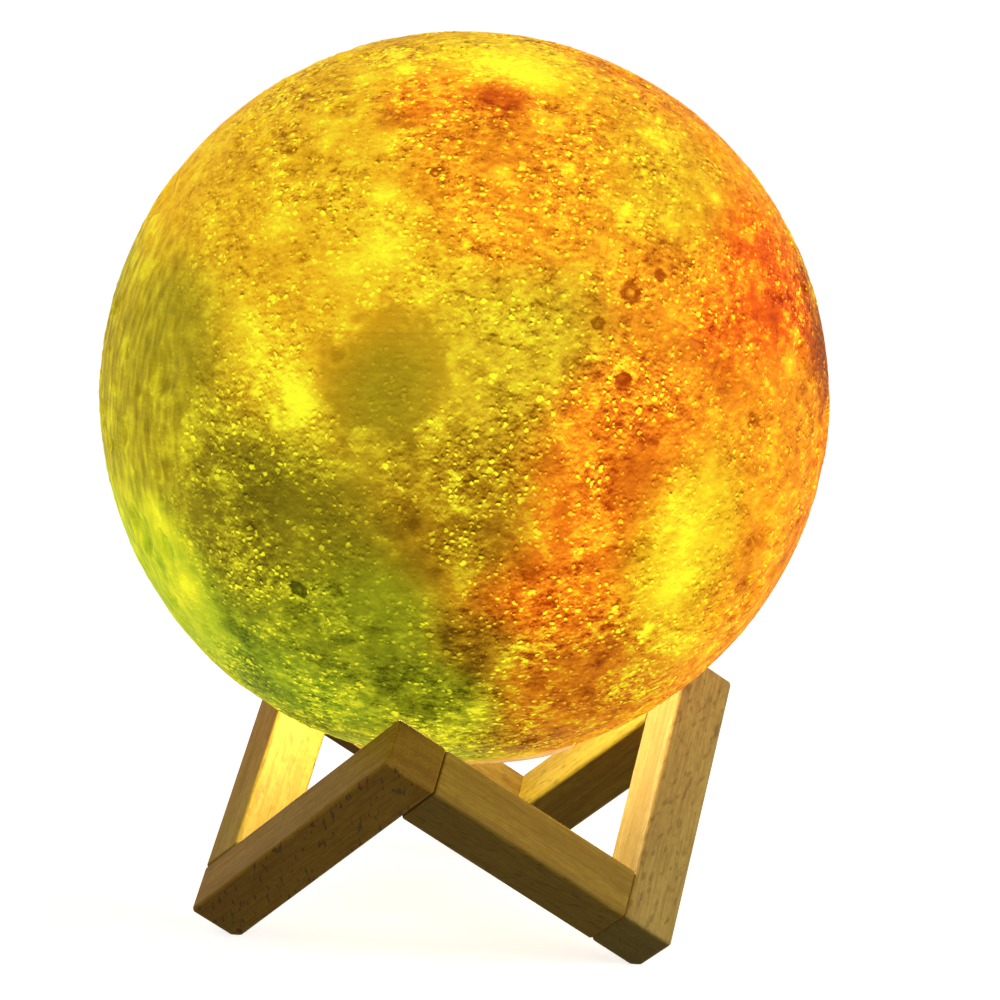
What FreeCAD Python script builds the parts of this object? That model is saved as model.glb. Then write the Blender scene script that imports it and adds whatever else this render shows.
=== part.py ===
"""Moon lamp: a hollow, cratered ball that glows, resting on a zigzag stand of six square wooden rails.

Millimetres. +Z is up. The origin is on the table, in the middle of the stand's three feet.
The stand's front peak points along -Y, its left foot towards -X and its right foot towards +X.
The ball lifts off the stand. Its light unit twists out of a collar in the ball's underside.
"""

import FreeCAD, Part

import math
import os

from FreeCAD import Matrix, Placement, Rotation, Vector

# ---------------------------------------------------------------- driving sizes: the stand
cube_edge = 72.0            # length of a long rail: the rails follow six edges of a cube on its corner
rail_size = 12.0            # square section of every rail
rail_edge_round = 1.0       # eased long edges, and the ends of a long rail
short_rail_end_round = 0.6  # eased ends of a short rail, which show as a dark line at each joint
foot_trim = 1.5             # height sanded off each foot's tip
dowel_diameter = 5.0
dowel_length = 20.0
dowel_depth_in_long_rail = 8.0
dowel_side_clearance = 0.03
dowel_end_clearance = 0.5
dowel_chamfer = 0.6

# ---------------------------------------------------------------- driving sizes: the ball
ball_diameter = 150.0
shell_wall = 2.0
ball_seat_gap = 0.15        # between the shell and the three peaks
shell_hole_diameter = 44.0  # in the underside, for the collar
shell_flat_margin = 0.2     # of the small flat round the hole, past the collar's flange
sea_depth = 0.4             # of the flat dark plains
crater_rim_depth = 0.35     # every crater is this deep, and deeper by a share of its radius
crater_depth_share = 0.12
far_crater_count = 22       # on the sides and back
far_crater_least = 1.6      # radius, which varies in far_crater_sizes even steps
far_crater_step = 1.1
far_crater_sizes = 4

# ---------------------------------------------------------------- driving sizes: collar and twist lock
collar_fit = 0.1            # glue gap between collar and shell
collar_flange_diameter = 48.0
collar_flange_thickness = 0.8
collar_flange_round = 0.3
collar_wall = 2.5
collar_height = 12.0        # from the underside to the ledge's top
recess_wall = 1.2           # of the collar, round the base plate
ledge_width = 1.9
ledge_thickness = 1.6
twist_angle = 45.0          # from locked to free
lug_count = 3
lug_width_angle = 24.0
lug_gap_angle = 28.0
stop_width_angle = 4.0
stop_play_angle = 1.0       # between a lug's side and its stop
lug_thickness = 1.6
lock_clearance = 0.3        # round everything that turns in the collar
lug_lift = 0.15             # of a lug above the ledge

# ---------------------------------------------------------------- driving sizes: base plate and touch ring
plate_thickness = 2.0
plate_clearance = 0.25      # round the plate
plate_gap = 0.15            # above the plate
plate_edge_round = 0.4
ring_inset = 2.05           # from the plate's rim
ring_width = 2.0
ring_thickness = 1.0
ring_proud = 0.2
ring_round = 0.3
part_fit = 0.05             # round screws and everything let into the plate

# ---------------------------------------------------------------- driving sizes: housing and screws
housing_wall = 1.8
housing_height = 32.6       # from the base plate to the top of the housing
boss_radius = 2.6
boss_length = 10.0
boss_overlap = 0.6          # of a boss with the housing's wall
boss_first_angle = 30.0
boss_count = 3
base_screw_radius = 1.1
base_screw_length = 8.0
base_screw_head_radius = 2.1
base_screw_head_height = 1.2
base_screw_head_sunk = 0.1
screw_tip_clearance = 0.3
small_screw_radius = 0.8
small_screw_head_radius = 1.6
small_screw_head_height = 1.0
board_screw_length = 5.0
recess_reach = 1.3          # length of a cross recess over the head's radius
recess_breadth = 0.3        # width of its slots over the head's radius
recess_floor = 0.4          # of the head's height is left under it

# ---------------------------------------------------------------- driving sizes: control board
board_clearance = 0.6       # round the board, in the housing
board_thickness = 1.2
board_height = 5.2          # of its underside, above the base plate
boss_notch_clearance = 0.4
board_post_radius = 2.0
board_post_x = 11.0
connector_x = 6.0
connector_y = -9.8
connector_width = 6.0
connector_depth = 4.0
connector_height = 4.2
connector_wall = 0.6
connector_floor = 1.0

# on top of the control board: x, y, size in x, size in y, height
BOARD_PARTS = [
    (-6.0, 8.4, 5.0, 4.0, 1.4),
    (5.4, 8.6, 3.0, 2.8, 1.1),
    (-6.4, -9.6, 4.0, 4.0, 2.2),
    (7.0, 5.2, 1.6, 0.8, 0.6),
    (-2.6, -9.8, 1.6, 0.8, 0.6),
]

# ---------------------------------------------------------------- driving sizes: charging socket
socket_width = 7.6
socket_depth = 2.9
socket_corner = 0.9         # cut off its two outer corners
socket_wall = 0.35
socket_back = 0.5
socket_recess = 0.3         # of its mouth in the underside
socket_y = -5.4
tongue_width = 4.2
tongue_thickness = 0.7
tongue_sunk = 0.8           # behind the mouth
tongue_offset = 0.3         # towards the wide side

# ---------------------------------------------------------------- driving sizes: button and indicator
button_y = 5.4
button_radius = 3.2
button_clearance = 0.15
button_proud = 0.6
button_edge_round = 0.4
button_rim_radius = 4.2
button_rim_thickness = 0.8
button_rim_gap = 0.1        # above the plate
button_travel = 0.5
switch_size = 6.0
switch_height = 3.4
plunger_radius = 1.7
plunger_clearance = 0.1
plunger_gap = 0.05          # above the button's rim
plunger_sunk = 1.2          # in the switch
plunger_end_clearance = 0.2
indicator_x = 7.4
indicator_radius = 1.1
indicator_reach = 1.6       # of the light pipe above the plate
indicator_led_length = 1.6
indicator_led_width = 0.8
indicator_led_height = 0.6

# ---------------------------------------------------------------- driving sizes: battery
cell_width = 24.0           # lithium pouch cell, standing on edge
cell_thickness = 7.5
cell_height = 20.0
cell_corner = 2.0
cell_y = -3.0
pad_height = 2.6            # of the foam under the cell
pad_inset_x = 3.0           # from the cell's ends
pad_inset_y = 0.5           # from the cell's faces
pad_arch_width = 8.0
pad_arch_height = 1.6
lead_height = 16.0          # where the leads enter the cell, above its foot
lead_spacing = 1.7
lead_lift = 0.2             # of a lead's end above the connector's floor

# ---------------------------------------------------------------- driving sizes: LEDs, dome and ribbon
led_board_clearance = 0.8   # round the board, in the dome
led_board_thickness = 1.4
led_screw_x = 5.2
led_count = 8
led_size = 5.0
led_height = 1.6
led_well_radius = 2.0
led_well_depth = 0.4
led_circle_radius = 9.6
receiver_width = 5.0
receiver_depth = 3.6
receiver_height = 6.4
receiver_lens_radius = 1.8
receiver_lens_sunk = 0.5    # of the lens's middle behind the receiver's face
receiver_lens_height = 3.8
dome_outer_radius = 17.0
dome_wall = 1.0
dome_seat_height = 3.0      # of the housing's spigot that the dome slides over
dome_fit = 0.1
dome_straight = 7.0         # of the dome's side above the housing
wire_diameter = 1.0
wire_gap = 0.35
wire_hole_clearance = 0.05
wire_slot_clearance = 0.5
arc_share = 0.45            # of the shorter run beside a bend that the bend's arc takes up
led_wire_count = 5
led_wire_y = 13.0
led_wire_straight_low = 6.0
led_wire_straight_high = 8.0
led_wire_bow = 1.4          # towards the middle, halfway up
led_wire_proud = 0.3        # of the LED board

# ---------------------------------------------------------------- plains and craters, as degrees on the ball
# longitude is counted to the right from the meridian that faces the viewer, and latitude up from the equator
VIEW_AZIMUTH = -75.0
SEAS = [                    # longitude, latitude, radius
    (-12, 14, 12.0),
    (-22, -9, 13.0),
    (-12, -24, 10.0),
    (-57, 15, 10.0),
    (27, -6, 4.6),
    (15, 65, 3.6),
]
CRATERS = [
    (30, 25, 2.8),
    (37, 28, 1.8),
    (23, 21, 1.7),
    (26, 12, 2.1),
    (38, 33, 3.4),
    (-7, 48, 1.4),
    (19, 14, 2.6),
    (23, -17, 2.6),
    (64, 18, 2.8),
    (-44, 46, 2.0),
    (-30, -24, 2.4),
    (-16, -39, 2.2),
    (10, -22, 1.8),
    (-4, 25, 1.6),
    (49, -34, 2.2),
]
FAR_LONGITUDE = 95.0        # craters past this, from the viewer's meridian, follow a spiral
FAR_LATITUDES = (-55.0, 75.0)

# ---------------------------------------------------------------- sizes that follow
cut_over = 1.0              # how far a cut runs past the face that it opens
same_place = 0.001          # two places nearer than this are the same
ball_radius = ball_diameter / 2
rise = 1 / math.sqrt(3)     # of a cube's edge, per length, when the cube stands on its corner
FOOT_AZIMUTHS = (210, 330, 90)
foot_height = (cube_edge - rail_size) * rise + foot_trim


def seat_of_ball():
    """Distance from the cube's lowest corner up to the ball's centre, with the ball on three rounded peaks."""
    outer = cube_edge - rail_edge_round
    inner = rail_size - rail_edge_round
    reach = ball_radius + rail_edge_round + ball_seat_gap
    half = 2 * outer + inner
    along = (half + math.sqrt(half ** 2 - 3 * (2 * outer ** 2 + inner ** 2 - reach ** 2))) / 3
    return along / rise


ball_centre_z = seat_of_ball() - foot_height
flange_radius = collar_flange_diameter / 2
shell_flat_radius = flange_radius + shell_flat_margin
shell_flat_z = ball_centre_z - math.sqrt(ball_radius ** 2 - shell_flat_radius ** 2)
underside_z = shell_flat_z - collar_fit - collar_flange_thickness
shell_hole_radius = shell_hole_diameter / 2
collar_outer = shell_hole_radius - collar_fit
collar_inner = collar_outer - collar_wall
ledge_inner = collar_inner - ledge_width
ledge_top_z = underside_z + collar_height
ledge_low_z = ledge_top_z - ledge_thickness
plate_top_z = underside_z + plate_thickness
recess_radius = collar_outer - recess_wall
plate_radius = recess_radius - plate_clearance
ring_outer = plate_radius - ring_inset
ring_inner = ring_outer - ring_width
ring_low_z = underside_z - ring_proud
ring_top_z = ring_low_z + ring_thickness
housing_low_radius = collar_inner - lock_clearance
housing_radius = ledge_inner - lock_clearance
housing_inner = housing_radius - housing_wall
housing_top_z = plate_top_z + housing_height
housing_roof_z = housing_top_z - housing_wall
boss_circle_radius = housing_inner + boss_overlap - boss_radius
base_screw_face_z = underside_z + base_screw_head_height
board_radius = housing_inner - board_clearance
board_z = plate_top_z + board_height
board_top_z = board_z + board_thickness
led_board_top_z = housing_top_z + led_board_thickness
led_top_z = led_board_top_z + led_height
dome_seat_z = housing_top_z - dome_seat_height
dome_spring_z = housing_top_z + dome_straight
dome_inner_radius = dome_outer_radius - dome_wall
spigot_radius = dome_inner_radius - dome_fit
led_board_radius = dome_inner_radius - led_board_clearance
button_rim_z = plate_top_z + button_rim_gap
button_rim_top_z = button_rim_z + button_rim_thickness
switch_low_z = board_z - switch_height
cell_low_z = board_top_z + pad_height


def export(name, shape):
    """Writes one node, and stops if any of its solids isn't sound."""
    solids = shape.Solids
    if not solids or not all(s.isValid() and s.Volume > 0 for s in solids):
        raise ValueError(name + " isn't a sound solid")
    shape.exportStep("parts/" + name + ".step")
    print(name, len(solids), "solids", round(sum(s.Volume for s in solids), 1), "mm3")


def export_group(name, shapes):
    export(name, Part.makeCompound(shapes))


def cylinder(radius, low_z, high_z, x=0.0, y=0.0):
    return Part.makeCylinder(radius, high_z - low_z, Vector(x, y, low_z))


def tube(outer, inner, low_z, high_z):
    return cylinder(outer, low_z, high_z).cut(cylinder(inner, low_z, high_z))


def block(size_x, size_y, low_z, high_z, x=0.0, y=0.0):
    corner = Vector(x - size_x / 2, y - size_y / 2, low_z)
    return Part.makeBox(size_x, size_y, high_z - low_z, corner)


def turned(points):
    """A solid of revolution about Z from a closed outline of (radius, height) points."""
    wire = Part.makePolygon([Vector(r, 0, z) for r, z in points + points[:1]])
    return Part.Face(wire).revolve(Vector(0, 0, 0), Vector(0, 0, 1), 360)


def spun(shape, angle):
    copy = shape.copy()
    copy.rotate(Vector(0, 0, 0), Vector(0, 0, 1), angle)
    return copy


def sector(radius, low_z, high_z, middle_angle, width_angle):
    """A wedge of a cylinder about Z."""
    wedge = Part.makeCylinder(radius, high_z - low_z, Vector(0, 0, low_z), Vector(0, 0, 1), width_angle)
    return spun(wedge, middle_angle - width_angle / 2)


def evenly_round(count, start=0.0):
    """Angles that share a full turn evenly."""
    return [start + 360.0 / count * i for i in range(count)]


def on_circle(radius, angles):
    return [(radius * math.cos(math.radians(a)), radius * math.sin(math.radians(a))) for a in angles]


def is_round(edge):
    return edge.Curve.TypeId == "Part::GeomCircle"


def rims_at(shape, z):
    """The round edges of a shape that lie flat at a height."""
    return [e for e in shape.Edges
            if is_round(e) and abs(e.BoundBox.ZMax - z) < same_place and abs(e.BoundBox.ZMin - z) < same_place]


def runs_along(edge, axis):
    return abs(edge.tangentAt(edge.FirstParameter)[axis]) > 0.5


# ---------------------------------------------------------------- the stand
def cube_placement():
    """Stands a cube on its corner: its edges along +X, +Y and +Z go to the feet's azimuths."""
    flat = math.sqrt(1 - rise ** 2)
    u, v, w = [(x, y, rise) for x, y in on_circle(flat, FOOT_AZIMUTHS)]
    return Placement(Matrix(u[0], v[0], w[0], 0,
                            u[1], v[1], w[1], 0,
                            u[2], v[2], w[2], -foot_height,
                            0, 0, 0, 1))


def eased_bar(low, high, axis, long_round, end_round):
    """A square bar between two corners, its edges along one axis and those round its ends eased."""
    bar = Part.makeBox(*[high[i] - low[i] for i in range(3)], Vector(*low))
    if long_round == end_round:
        return bar.makeFillet(long_round, bar.Edges)
    bar = bar.makeFillet(long_round, [e for e in bar.Edges if runs_along(e, axis)])
    end_edges = []
    for edge in bar.Edges:
        place = edge.CenterOfMass[axis]
        if min(abs(place - low[axis]), abs(place - high[axis])) < same_place:
            end_edges.append(edge)
    return bar.makeFillet(end_round, end_edges)


def dowel_hole(at_peak, in_long_rail):
    """The hole for a dowel of the front right rail, along the cube's own X: at its peak or at its foot."""
    middle = rail_size / 2
    radius = dowel_diameter / 2 + dowel_side_clearance
    depth = dowel_depth_in_long_rail if in_long_rail else dowel_length - dowel_depth_in_long_rail
    depth += dowel_end_clearance
    joint = cube_edge - rail_size if at_peak else rail_size
    starts_at_joint = at_peak == in_long_rail
    start = joint if starts_at_joint else joint - depth
    return Part.makeCylinder(radius, depth, Vector(start, cube_edge - middle, middle), Vector(1, 0, 0))


def dowel(at_peak):
    middle = rail_size / 2
    in_short_rail = dowel_length - dowel_depth_in_long_rail
    start = cube_edge - rail_size - in_short_rail if at_peak else rail_size - dowel_depth_in_long_rail
    place = Vector(start, cube_edge - middle, middle)
    pin = Part.makeCylinder(dowel_diameter / 2, dowel_length, place, Vector(1, 0, 0))
    pin = pin.makeChamfer(dowel_chamfer, [e for e in pin.Edges if is_round(e)])
    pin.Placement = cube_placement()
    return pin


def long_rail():
    """Rises from the left foot to the front peak, along the cube's Y, and runs through at both ends."""
    low = (cube_edge - rail_size, 0.0, 0.0)
    high = (cube_edge, cube_edge, rail_size)
    bar = eased_bar(low, high, 1, rail_edge_round, rail_edge_round)
    bar = bar.cut(dowel_hole(True, True))
    # the hole in this rail's foot is the one that the right rail's foot has, a third of a turn on
    foot_hole = dowel_hole(False, True)
    third_back = Placement(Vector(0, 0, 0), Rotation(Vector(1, 1, 1), -120))
    foot_hole.Placement = third_back.multiply(foot_hole.Placement)
    bar = bar.cut(foot_hole)
    bar.Placement = cube_placement()
    tip_size = 4 * cube_edge
    return bar.cut(block(tip_size, tip_size, -cube_edge, 0))


def short_rail():
    """Falls from the front peak to the right foot, and butts against a long rail at each end."""
    low = (rail_size, cube_edge - rail_size, 0.0)
    high = (cube_edge - rail_size, cube_edge, rail_size)
    bar = eased_bar(low, high, 0, rail_edge_round, short_rail_end_round)
    bar = bar.cut(dowel_hole(True, False)).cut(dowel_hole(False, False))
    bar.Placement = cube_placement()
    return bar


def make_stand():
    turns = evenly_round(3)
    for name, turn in zip(("front_left_rail", "right_rail", "back_left_rail"), turns):
        export(name, spun(long_rail(), turn))
    for name, turn in zip(("front_right_rail", "back_right_rail", "left_rail"), turns):
        export(name, spun(short_rail(), turn))
    export_group("peak_dowels", [spun(dowel(True), turn) for turn in turns])
    export_group("foot_dowels", [spun(dowel(False), turn) for turn in turns])


# ---------------------------------------------------------------- the ball
def ball_centre():
    return Vector(0, 0, ball_centre_z)


def direction(longitude, latitude):
    """Unit vector from the ball's centre to a place on it."""
    turn = math.radians(VIEW_AZIMUTH + longitude)
    lift = math.radians(latitude)
    return Vector(math.cos(turn) * math.cos(lift), math.sin(turn) * math.cos(lift), math.sin(lift))


def far_craters():
    """Craters that an even spiral spreads over the side away from the viewer."""
    golden_turn = 180 * (3 - math.sqrt(5))
    found = []
    spiral_count = 3 * far_crater_count     # about a third of them are far enough round
    for i in range(spiral_count):
        latitude = math.degrees(math.asin(1 - 2 * (i + 0.5) / spiral_count))
        longitude = (i * golden_turn) % 360
        is_far = FAR_LONGITUDE < longitude < 360 - FAR_LONGITUDE
        if is_far and FAR_LATITUDES[0] < latitude < FAR_LATITUDES[1]:
            radius = far_crater_least + far_crater_step * (i % far_crater_sizes)
            found.append((longitude, latitude, radius))
    return found[:far_crater_count]


def crater(longitude, latitude, radius):
    """Cuts a round bowl: a sphere that meets the ball's surface in a circle of that radius."""
    depth = crater_rim_depth + crater_depth_share * radius
    bowl_radius = (radius ** 2 + depth ** 2) / (2 * depth)
    reach = math.sqrt(ball_radius ** 2 - radius ** 2) + math.sqrt(bowl_radius ** 2 - radius ** 2)
    return Part.makeSphere(bowl_radius, ball_centre() + direction(longitude, latitude) * reach)


def sea(longitude, latitude, radius):
    """Cuts a shallow, round plain out of the ball's surface."""
    column = Part.makeCylinder(radius, ball_radius + cut_over)
    patch = column.cut(Part.makeSphere(ball_radius - sea_depth))
    patch.Placement = Placement(ball_centre(), Rotation(Vector(0, 0, 1), direction(longitude, latitude)))
    return patch


def make_shell():
    below_z = ball_centre_z - ball_radius - cut_over
    shell = Part.makeSphere(ball_radius, ball_centre())
    shell = shell.cut(Part.makeSphere(ball_radius - shell_wall, ball_centre()))
    shell = shell.cut(cylinder(shell_hole_radius, below_z, ball_centre_z))
    shell = shell.cut(cylinder(ball_radius, below_z, shell_flat_z))
    for place in SEAS:
        shell = shell.cut(sea(*place))
    for place in CRATERS + far_craters():
        shell = shell.cut(crater(*place))
    export("moon_shell", shell)


def make_collar():
    """A ring glued into the shell's hole: a flange outside, a tube inside and a ledge with gaps for the lugs."""
    flange_top_z = underside_z + collar_flange_thickness
    flange = cylinder(flange_radius, underside_z, flange_top_z)
    flange = flange.makeFillet(collar_flange_round, [e for e in flange.Edges if is_round(e)])
    ring = flange.fuse(cylinder(collar_outer, underside_z, ledge_top_z))
    ring = ring.cut(cylinder(collar_inner, underside_z, ledge_top_z))
    ring = ring.cut(cylinder(recess_radius, underside_z - cut_over, plate_top_z + plate_gap))
    ledge = tube(collar_inner + collar_wall / 2, ledge_inner, ledge_low_z, ledge_top_z)
    for angle in evenly_round(lug_count, -twist_angle):
        ledge = ledge.cut(sector(collar_inner, ledge_low_z, ledge_top_z, angle, lug_gap_angle))
    ring = ring.fuse(ledge)
    to_stop = (lug_width_angle + stop_width_angle) / 2 + stop_play_angle
    stop_low_z = ledge_top_z - ledge_thickness / 2
    stop_top_z = ledge_top_z + lug_thickness
    for angle in evenly_round(lug_count, to_stop) + evenly_round(lug_count, -twist_angle - to_stop):
        stop = sector(collar_outer, stop_low_z, stop_top_z, angle, stop_width_angle)
        ring = ring.fuse(stop.cut(cylinder(ledge_inner, stop_low_z, stop_top_z)))
    export("shell_collar", ring.removeSplitter())


# ---------------------------------------------------------------- base plate, ring and housing
def base_screw_places():
    return on_circle(boss_circle_radius, evenly_round(boss_count, boss_first_angle))


def board_post_places():
    return [(-board_post_x, 0.0), (board_post_x, 0.0)]


def led_screw_places():
    return [(-led_screw_x, 0.0), (led_screw_x, 0.0)]


def make_base_plate():
    plate = cylinder(plate_radius, underside_z, plate_top_z)
    plate = plate.makeFillet(plate_edge_round, rims_at(plate, underside_z))
    low_z = underside_z - cut_over
    hole_z = board_top_z - board_screw_length - screw_tip_clearance
    mouth_x = socket_width + 2 * part_fit
    mouth_y = socket_depth + 2 * part_fit
    plate = plate.cut(tube(ring_outer, ring_inner, low_z, ring_top_z))
    for x, y in base_screw_places():
        plate = plate.cut(cylinder(base_screw_head_radius + part_fit, low_z, base_screw_face_z, x, y))
        plate = plate.cut(cylinder(base_screw_radius + part_fit, low_z, plate_top_z, x, y))
    for x, y in board_post_places():
        plate = plate.fuse(cylinder(board_post_radius, plate_top_z, board_z, x, y))
        plate = plate.cut(cylinder(small_screw_radius + part_fit, hole_z, board_z, x, y))
    plate = plate.cut(cylinder(button_radius + button_clearance, low_z, plate_top_z, 0, button_y))
    plate = plate.cut(block(mouth_x, mouth_y, low_z, plate_top_z, 0, socket_y))
    plate = plate.cut(cylinder(indicator_radius + part_fit, low_z, plate_top_z, indicator_x, socket_y))
    export("base_plate", plate)


def make_touch_ring():
    ring = tube(ring_outer - part_fit, ring_inner + part_fit, ring_low_z, ring_top_z)
    export("touch_ring", ring.makeFillet(ring_round, rims_at(ring, ring_low_z)))


def make_housing():
    """The cup that carries everything: bosses inside, lugs outside and a spigot for the dome on top."""
    neck_z = ledge_low_z - lock_clearance
    body = turned([
        (0, plate_top_z),
        (housing_low_radius, plate_top_z),
        (housing_low_radius, neck_z),
        (housing_radius, neck_z),
        (housing_radius, dome_seat_z),
        (spigot_radius, dome_seat_z),
        (spigot_radius, housing_top_z),
        (0, housing_top_z),
    ])
    body = body.cut(cylinder(housing_inner, plate_top_z, housing_roof_z))
    hole_top_z = base_screw_face_z + base_screw_length + screw_tip_clearance
    for x, y in base_screw_places():
        body = body.fuse(cylinder(boss_radius, plate_top_z, plate_top_z + boss_length, x, y))
        body = body.cut(cylinder(base_screw_radius + part_fit, plate_top_z, hole_top_z, x, y))
    lug_z = ledge_top_z + lug_lift
    for angle in evenly_round(lug_count):
        lug = sector(housing_low_radius, lug_z, lug_z + lug_thickness, angle, lug_width_angle)
        body = body.fuse(lug.cut(cylinder(housing_radius - housing_wall / 2, lug_z, lug_z + lug_thickness)))
    for x, y in led_screw_places():
        body = body.cut(cylinder(small_screw_radius + part_fit, housing_roof_z, housing_top_z, x, y))
    slot_width = wire_span(led_wire_count) + 2 * wire_slot_clearance
    slot_depth = wire_diameter + 2 * wire_slot_clearance
    body = body.cut(block(slot_width, slot_depth, housing_roof_z, housing_top_z, 0, led_wire_y))
    export("light_housing", body.removeSplitter())


def screw(radius, length, head_radius, head_height, x, y, face_z, head_up):
    """A pan-head screw with a cross recess. Its head is on face_z, above it or below."""
    out = 1 if head_up else -1
    head = sorted((face_z, face_z + out * head_height))
    shank = sorted((face_z, face_z - out * length))
    recess = sorted((face_z + out * head_height, face_z + out * head_height * recess_floor))
    body = cylinder(head_radius, *head, x, y).fuse(cylinder(radius, *shank, x, y))
    long_side = recess_reach * head_radius
    short_side = recess_breadth * head_radius
    body = body.cut(block(long_side, short_side, *recess, x, y))
    return body.cut(block(short_side, long_side, *recess, x, y))


def small_screw(x, y, face_z, length):
    return screw(small_screw_radius, length, small_screw_head_radius, small_screw_head_height,
                 x, y, face_z, True)


def make_screws():
    head_height = base_screw_head_height - base_screw_head_sunk
    export_group("base_screws", [
        screw(base_screw_radius, base_screw_length, base_screw_head_radius, head_height,
              x, y, base_screw_face_z, False)
        for x, y in base_screw_places()])
    export_group("board_screws", [
        small_screw(x, y, board_top_z, board_screw_length) for x, y in board_post_places()])
    export_group("led_board_screws", [
        small_screw(x, y, led_board_top_z, led_board_thickness + housing_wall) for x, y in led_screw_places()])


# ---------------------------------------------------------------- control board, socket, button and indicator
def make_control_board():
    board = cylinder(board_radius, board_z, board_top_z)
    for x, y in base_screw_places():
        board = board.cut(cylinder(boss_radius + boss_notch_clearance, board_z, board_top_z, x, y))
    for x, y in board_post_places():
        board = board.cut(cylinder(small_screw_radius + part_fit, board_z, board_top_z, x, y))
    export("control_board", board)
    export_group("board_parts", [
        block(size_x, size_y, board_top_z, board_top_z + height, x, y)
        for x, y, size_x, size_y, height in BOARD_PARTS])
    top_z = board_top_z + connector_height
    connector = block(connector_width, connector_depth, board_top_z, top_z, connector_x, connector_y)
    cavity = block(connector_width - 2 * connector_wall, connector_depth - 2 * connector_wall,
                   board_top_z + connector_floor, top_z, connector_x, connector_y)
    export("battery_connector", connector.cut(cavity))


def socket_outline(inset, low_z, high_z):
    """The socket's section, two corners cut off, drawn in by inset and run between two heights."""
    half_x = socket_width / 2 - inset
    half_y = socket_depth / 2 - inset
    points = [
        (-half_x, half_y),
        (half_x, half_y),
        (half_x, socket_corner - half_y),
        (half_x - socket_corner, -half_y),
        (socket_corner - half_x, -half_y),
        (-half_x, socket_corner - half_y),
    ]
    wire = Part.makePolygon([Vector(x, y + socket_y, low_z) for x, y in points + points[:1]])
    return Part.Face(wire).extrude(Vector(0, 0, high_z - low_z))


def make_socket():
    """A steel tube, open downwards, and the contact tongue in it."""
    mouth_z = underside_z + socket_recess
    back_z = board_z - socket_back
    bore = socket_outline(socket_wall, mouth_z, back_z)
    export("charging_socket", socket_outline(0, mouth_z, board_z).cut(bore))
    export("socket_tongue",
           block(tongue_width, tongue_thickness, mouth_z + tongue_sunk, back_z, 0, socket_y + tongue_offset))


def make_button():
    low_z = underside_z - button_proud
    cap = cylinder(button_radius, low_z, button_rim_z, 0, button_y)
    cap = cap.makeFillet(button_edge_round, rims_at(cap, low_z))
    cap = cap.fuse(cylinder(button_rim_radius, button_rim_z, button_rim_top_z, 0, button_y))
    export("mode_button", cap.removeSplitter())
    plunger_top_z = switch_low_z + plunger_sunk
    plunger_low_z = button_rim_top_z + plunger_gap
    export("switch_plunger", cylinder(plunger_radius, plunger_low_z, plunger_top_z, 0, button_y))
    well_top_z = plunger_top_z + button_travel + plunger_end_clearance
    well = cylinder(plunger_radius + plunger_clearance, switch_low_z, well_top_z, 0, button_y)
    export("button_switch", block(switch_size, switch_size, switch_low_z, board_z, 0, button_y).cut(well))


def make_indicator():
    """A light pipe through the plate, and the LED above it on the board's underside."""
    pipe_top_z = plate_top_z + indicator_reach
    led_low_z = board_z - indicator_led_height
    export("indicator_lens", cylinder(indicator_radius, underside_z, pipe_top_z, indicator_x, socket_y))
    led = block(indicator_led_length, indicator_led_width, led_low_z, board_z, indicator_x, socket_y)
    export("indicator_led", led)


# ---------------------------------------------------------------- battery, LEDs, dome and wires
def wire_span(count):
    return count * wire_diameter + (count - 1) * wire_gap


def wire_offsets(count):
    pitch = wire_diameter + wire_gap
    return [(i - (count - 1) / 2) * pitch for i in range(count)]


def wire(points):
    """A tube along straight runs joined by tangent arcs, each arc as large as its two runs allow."""
    path = []
    start = Vector(*points[0])
    for before, here, after in zip(points, points[1:], points[2:]):
        corner = Vector(*here)
        back = Vector(*before) - corner
        ahead = Vector(*after) - corner
        reach = arc_share * min(back.Length, ahead.Length)
        half_turn = (math.pi - back.getAngle(ahead)) / 2
        radius = reach / math.tan(half_turn)
        back.normalize()
        ahead.normalize()
        inward = back + ahead
        inward.normalize()
        arc_start = corner + back * reach
        arc_middle = corner + inward * (radius / math.cos(half_turn) - radius)
        arc_end = corner + ahead * reach
        path.append(Part.LineSegment(start, arc_start).toShape())
        path.append(Part.Arc(arc_start, arc_middle, arc_end).toShape())
        start = arc_end
    path.append(Part.LineSegment(start, Vector(*points[-1])).toShape())
    first_run = Vector(*points[1]) - Vector(*points[0])
    section = Part.Wire(Part.makeCircle(wire_diameter / 2, Vector(*points[0]), first_run))
    return Part.Wire(path).makePipeShell([section], True, False)


def make_battery():
    cell = block(cell_width, cell_thickness, cell_low_z, cell_low_z + cell_height, 0, cell_y)
    export("battery_cell", cell.makeFillet(cell_corner, [e for e in cell.Edges if runs_along(e, 2)]))
    pad_x = cell_width - 2 * pad_inset_x
    pad_y = cell_thickness - 2 * pad_inset_y
    pad = block(pad_x, pad_y, board_top_z, cell_low_z, 0, cell_y)
    arch = block(pad_arch_width, cell_thickness, board_top_z, board_top_z + pad_arch_height, 0, cell_y)
    export("battery_pad", pad.cut(arch))
    low_z = board_top_z + connector_floor + lead_lift
    high_z = cell_low_z + lead_height
    leads = []
    for x in (connector_x - lead_spacing / 2, connector_x + lead_spacing / 2):
        leads.append(wire([
            (x, connector_y, low_z),
            (x, connector_y, high_z),
            (x, cell_y - cell_thickness / 2, high_z),
        ]))
    export_group("battery_leads", leads)


def make_led_board():
    board = cylinder(led_board_radius, housing_top_z, led_board_top_z)
    for x, y in led_screw_places():
        board = board.cut(cylinder(small_screw_radius + part_fit, housing_top_z, led_board_top_z, x, y))
    hole_radius = wire_diameter / 2 + wire_hole_clearance
    for x in wire_offsets(led_wire_count):
        board = board.cut(cylinder(hole_radius, housing_top_z, led_board_top_z, x, led_wire_y))
    export("led_board", board)


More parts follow.
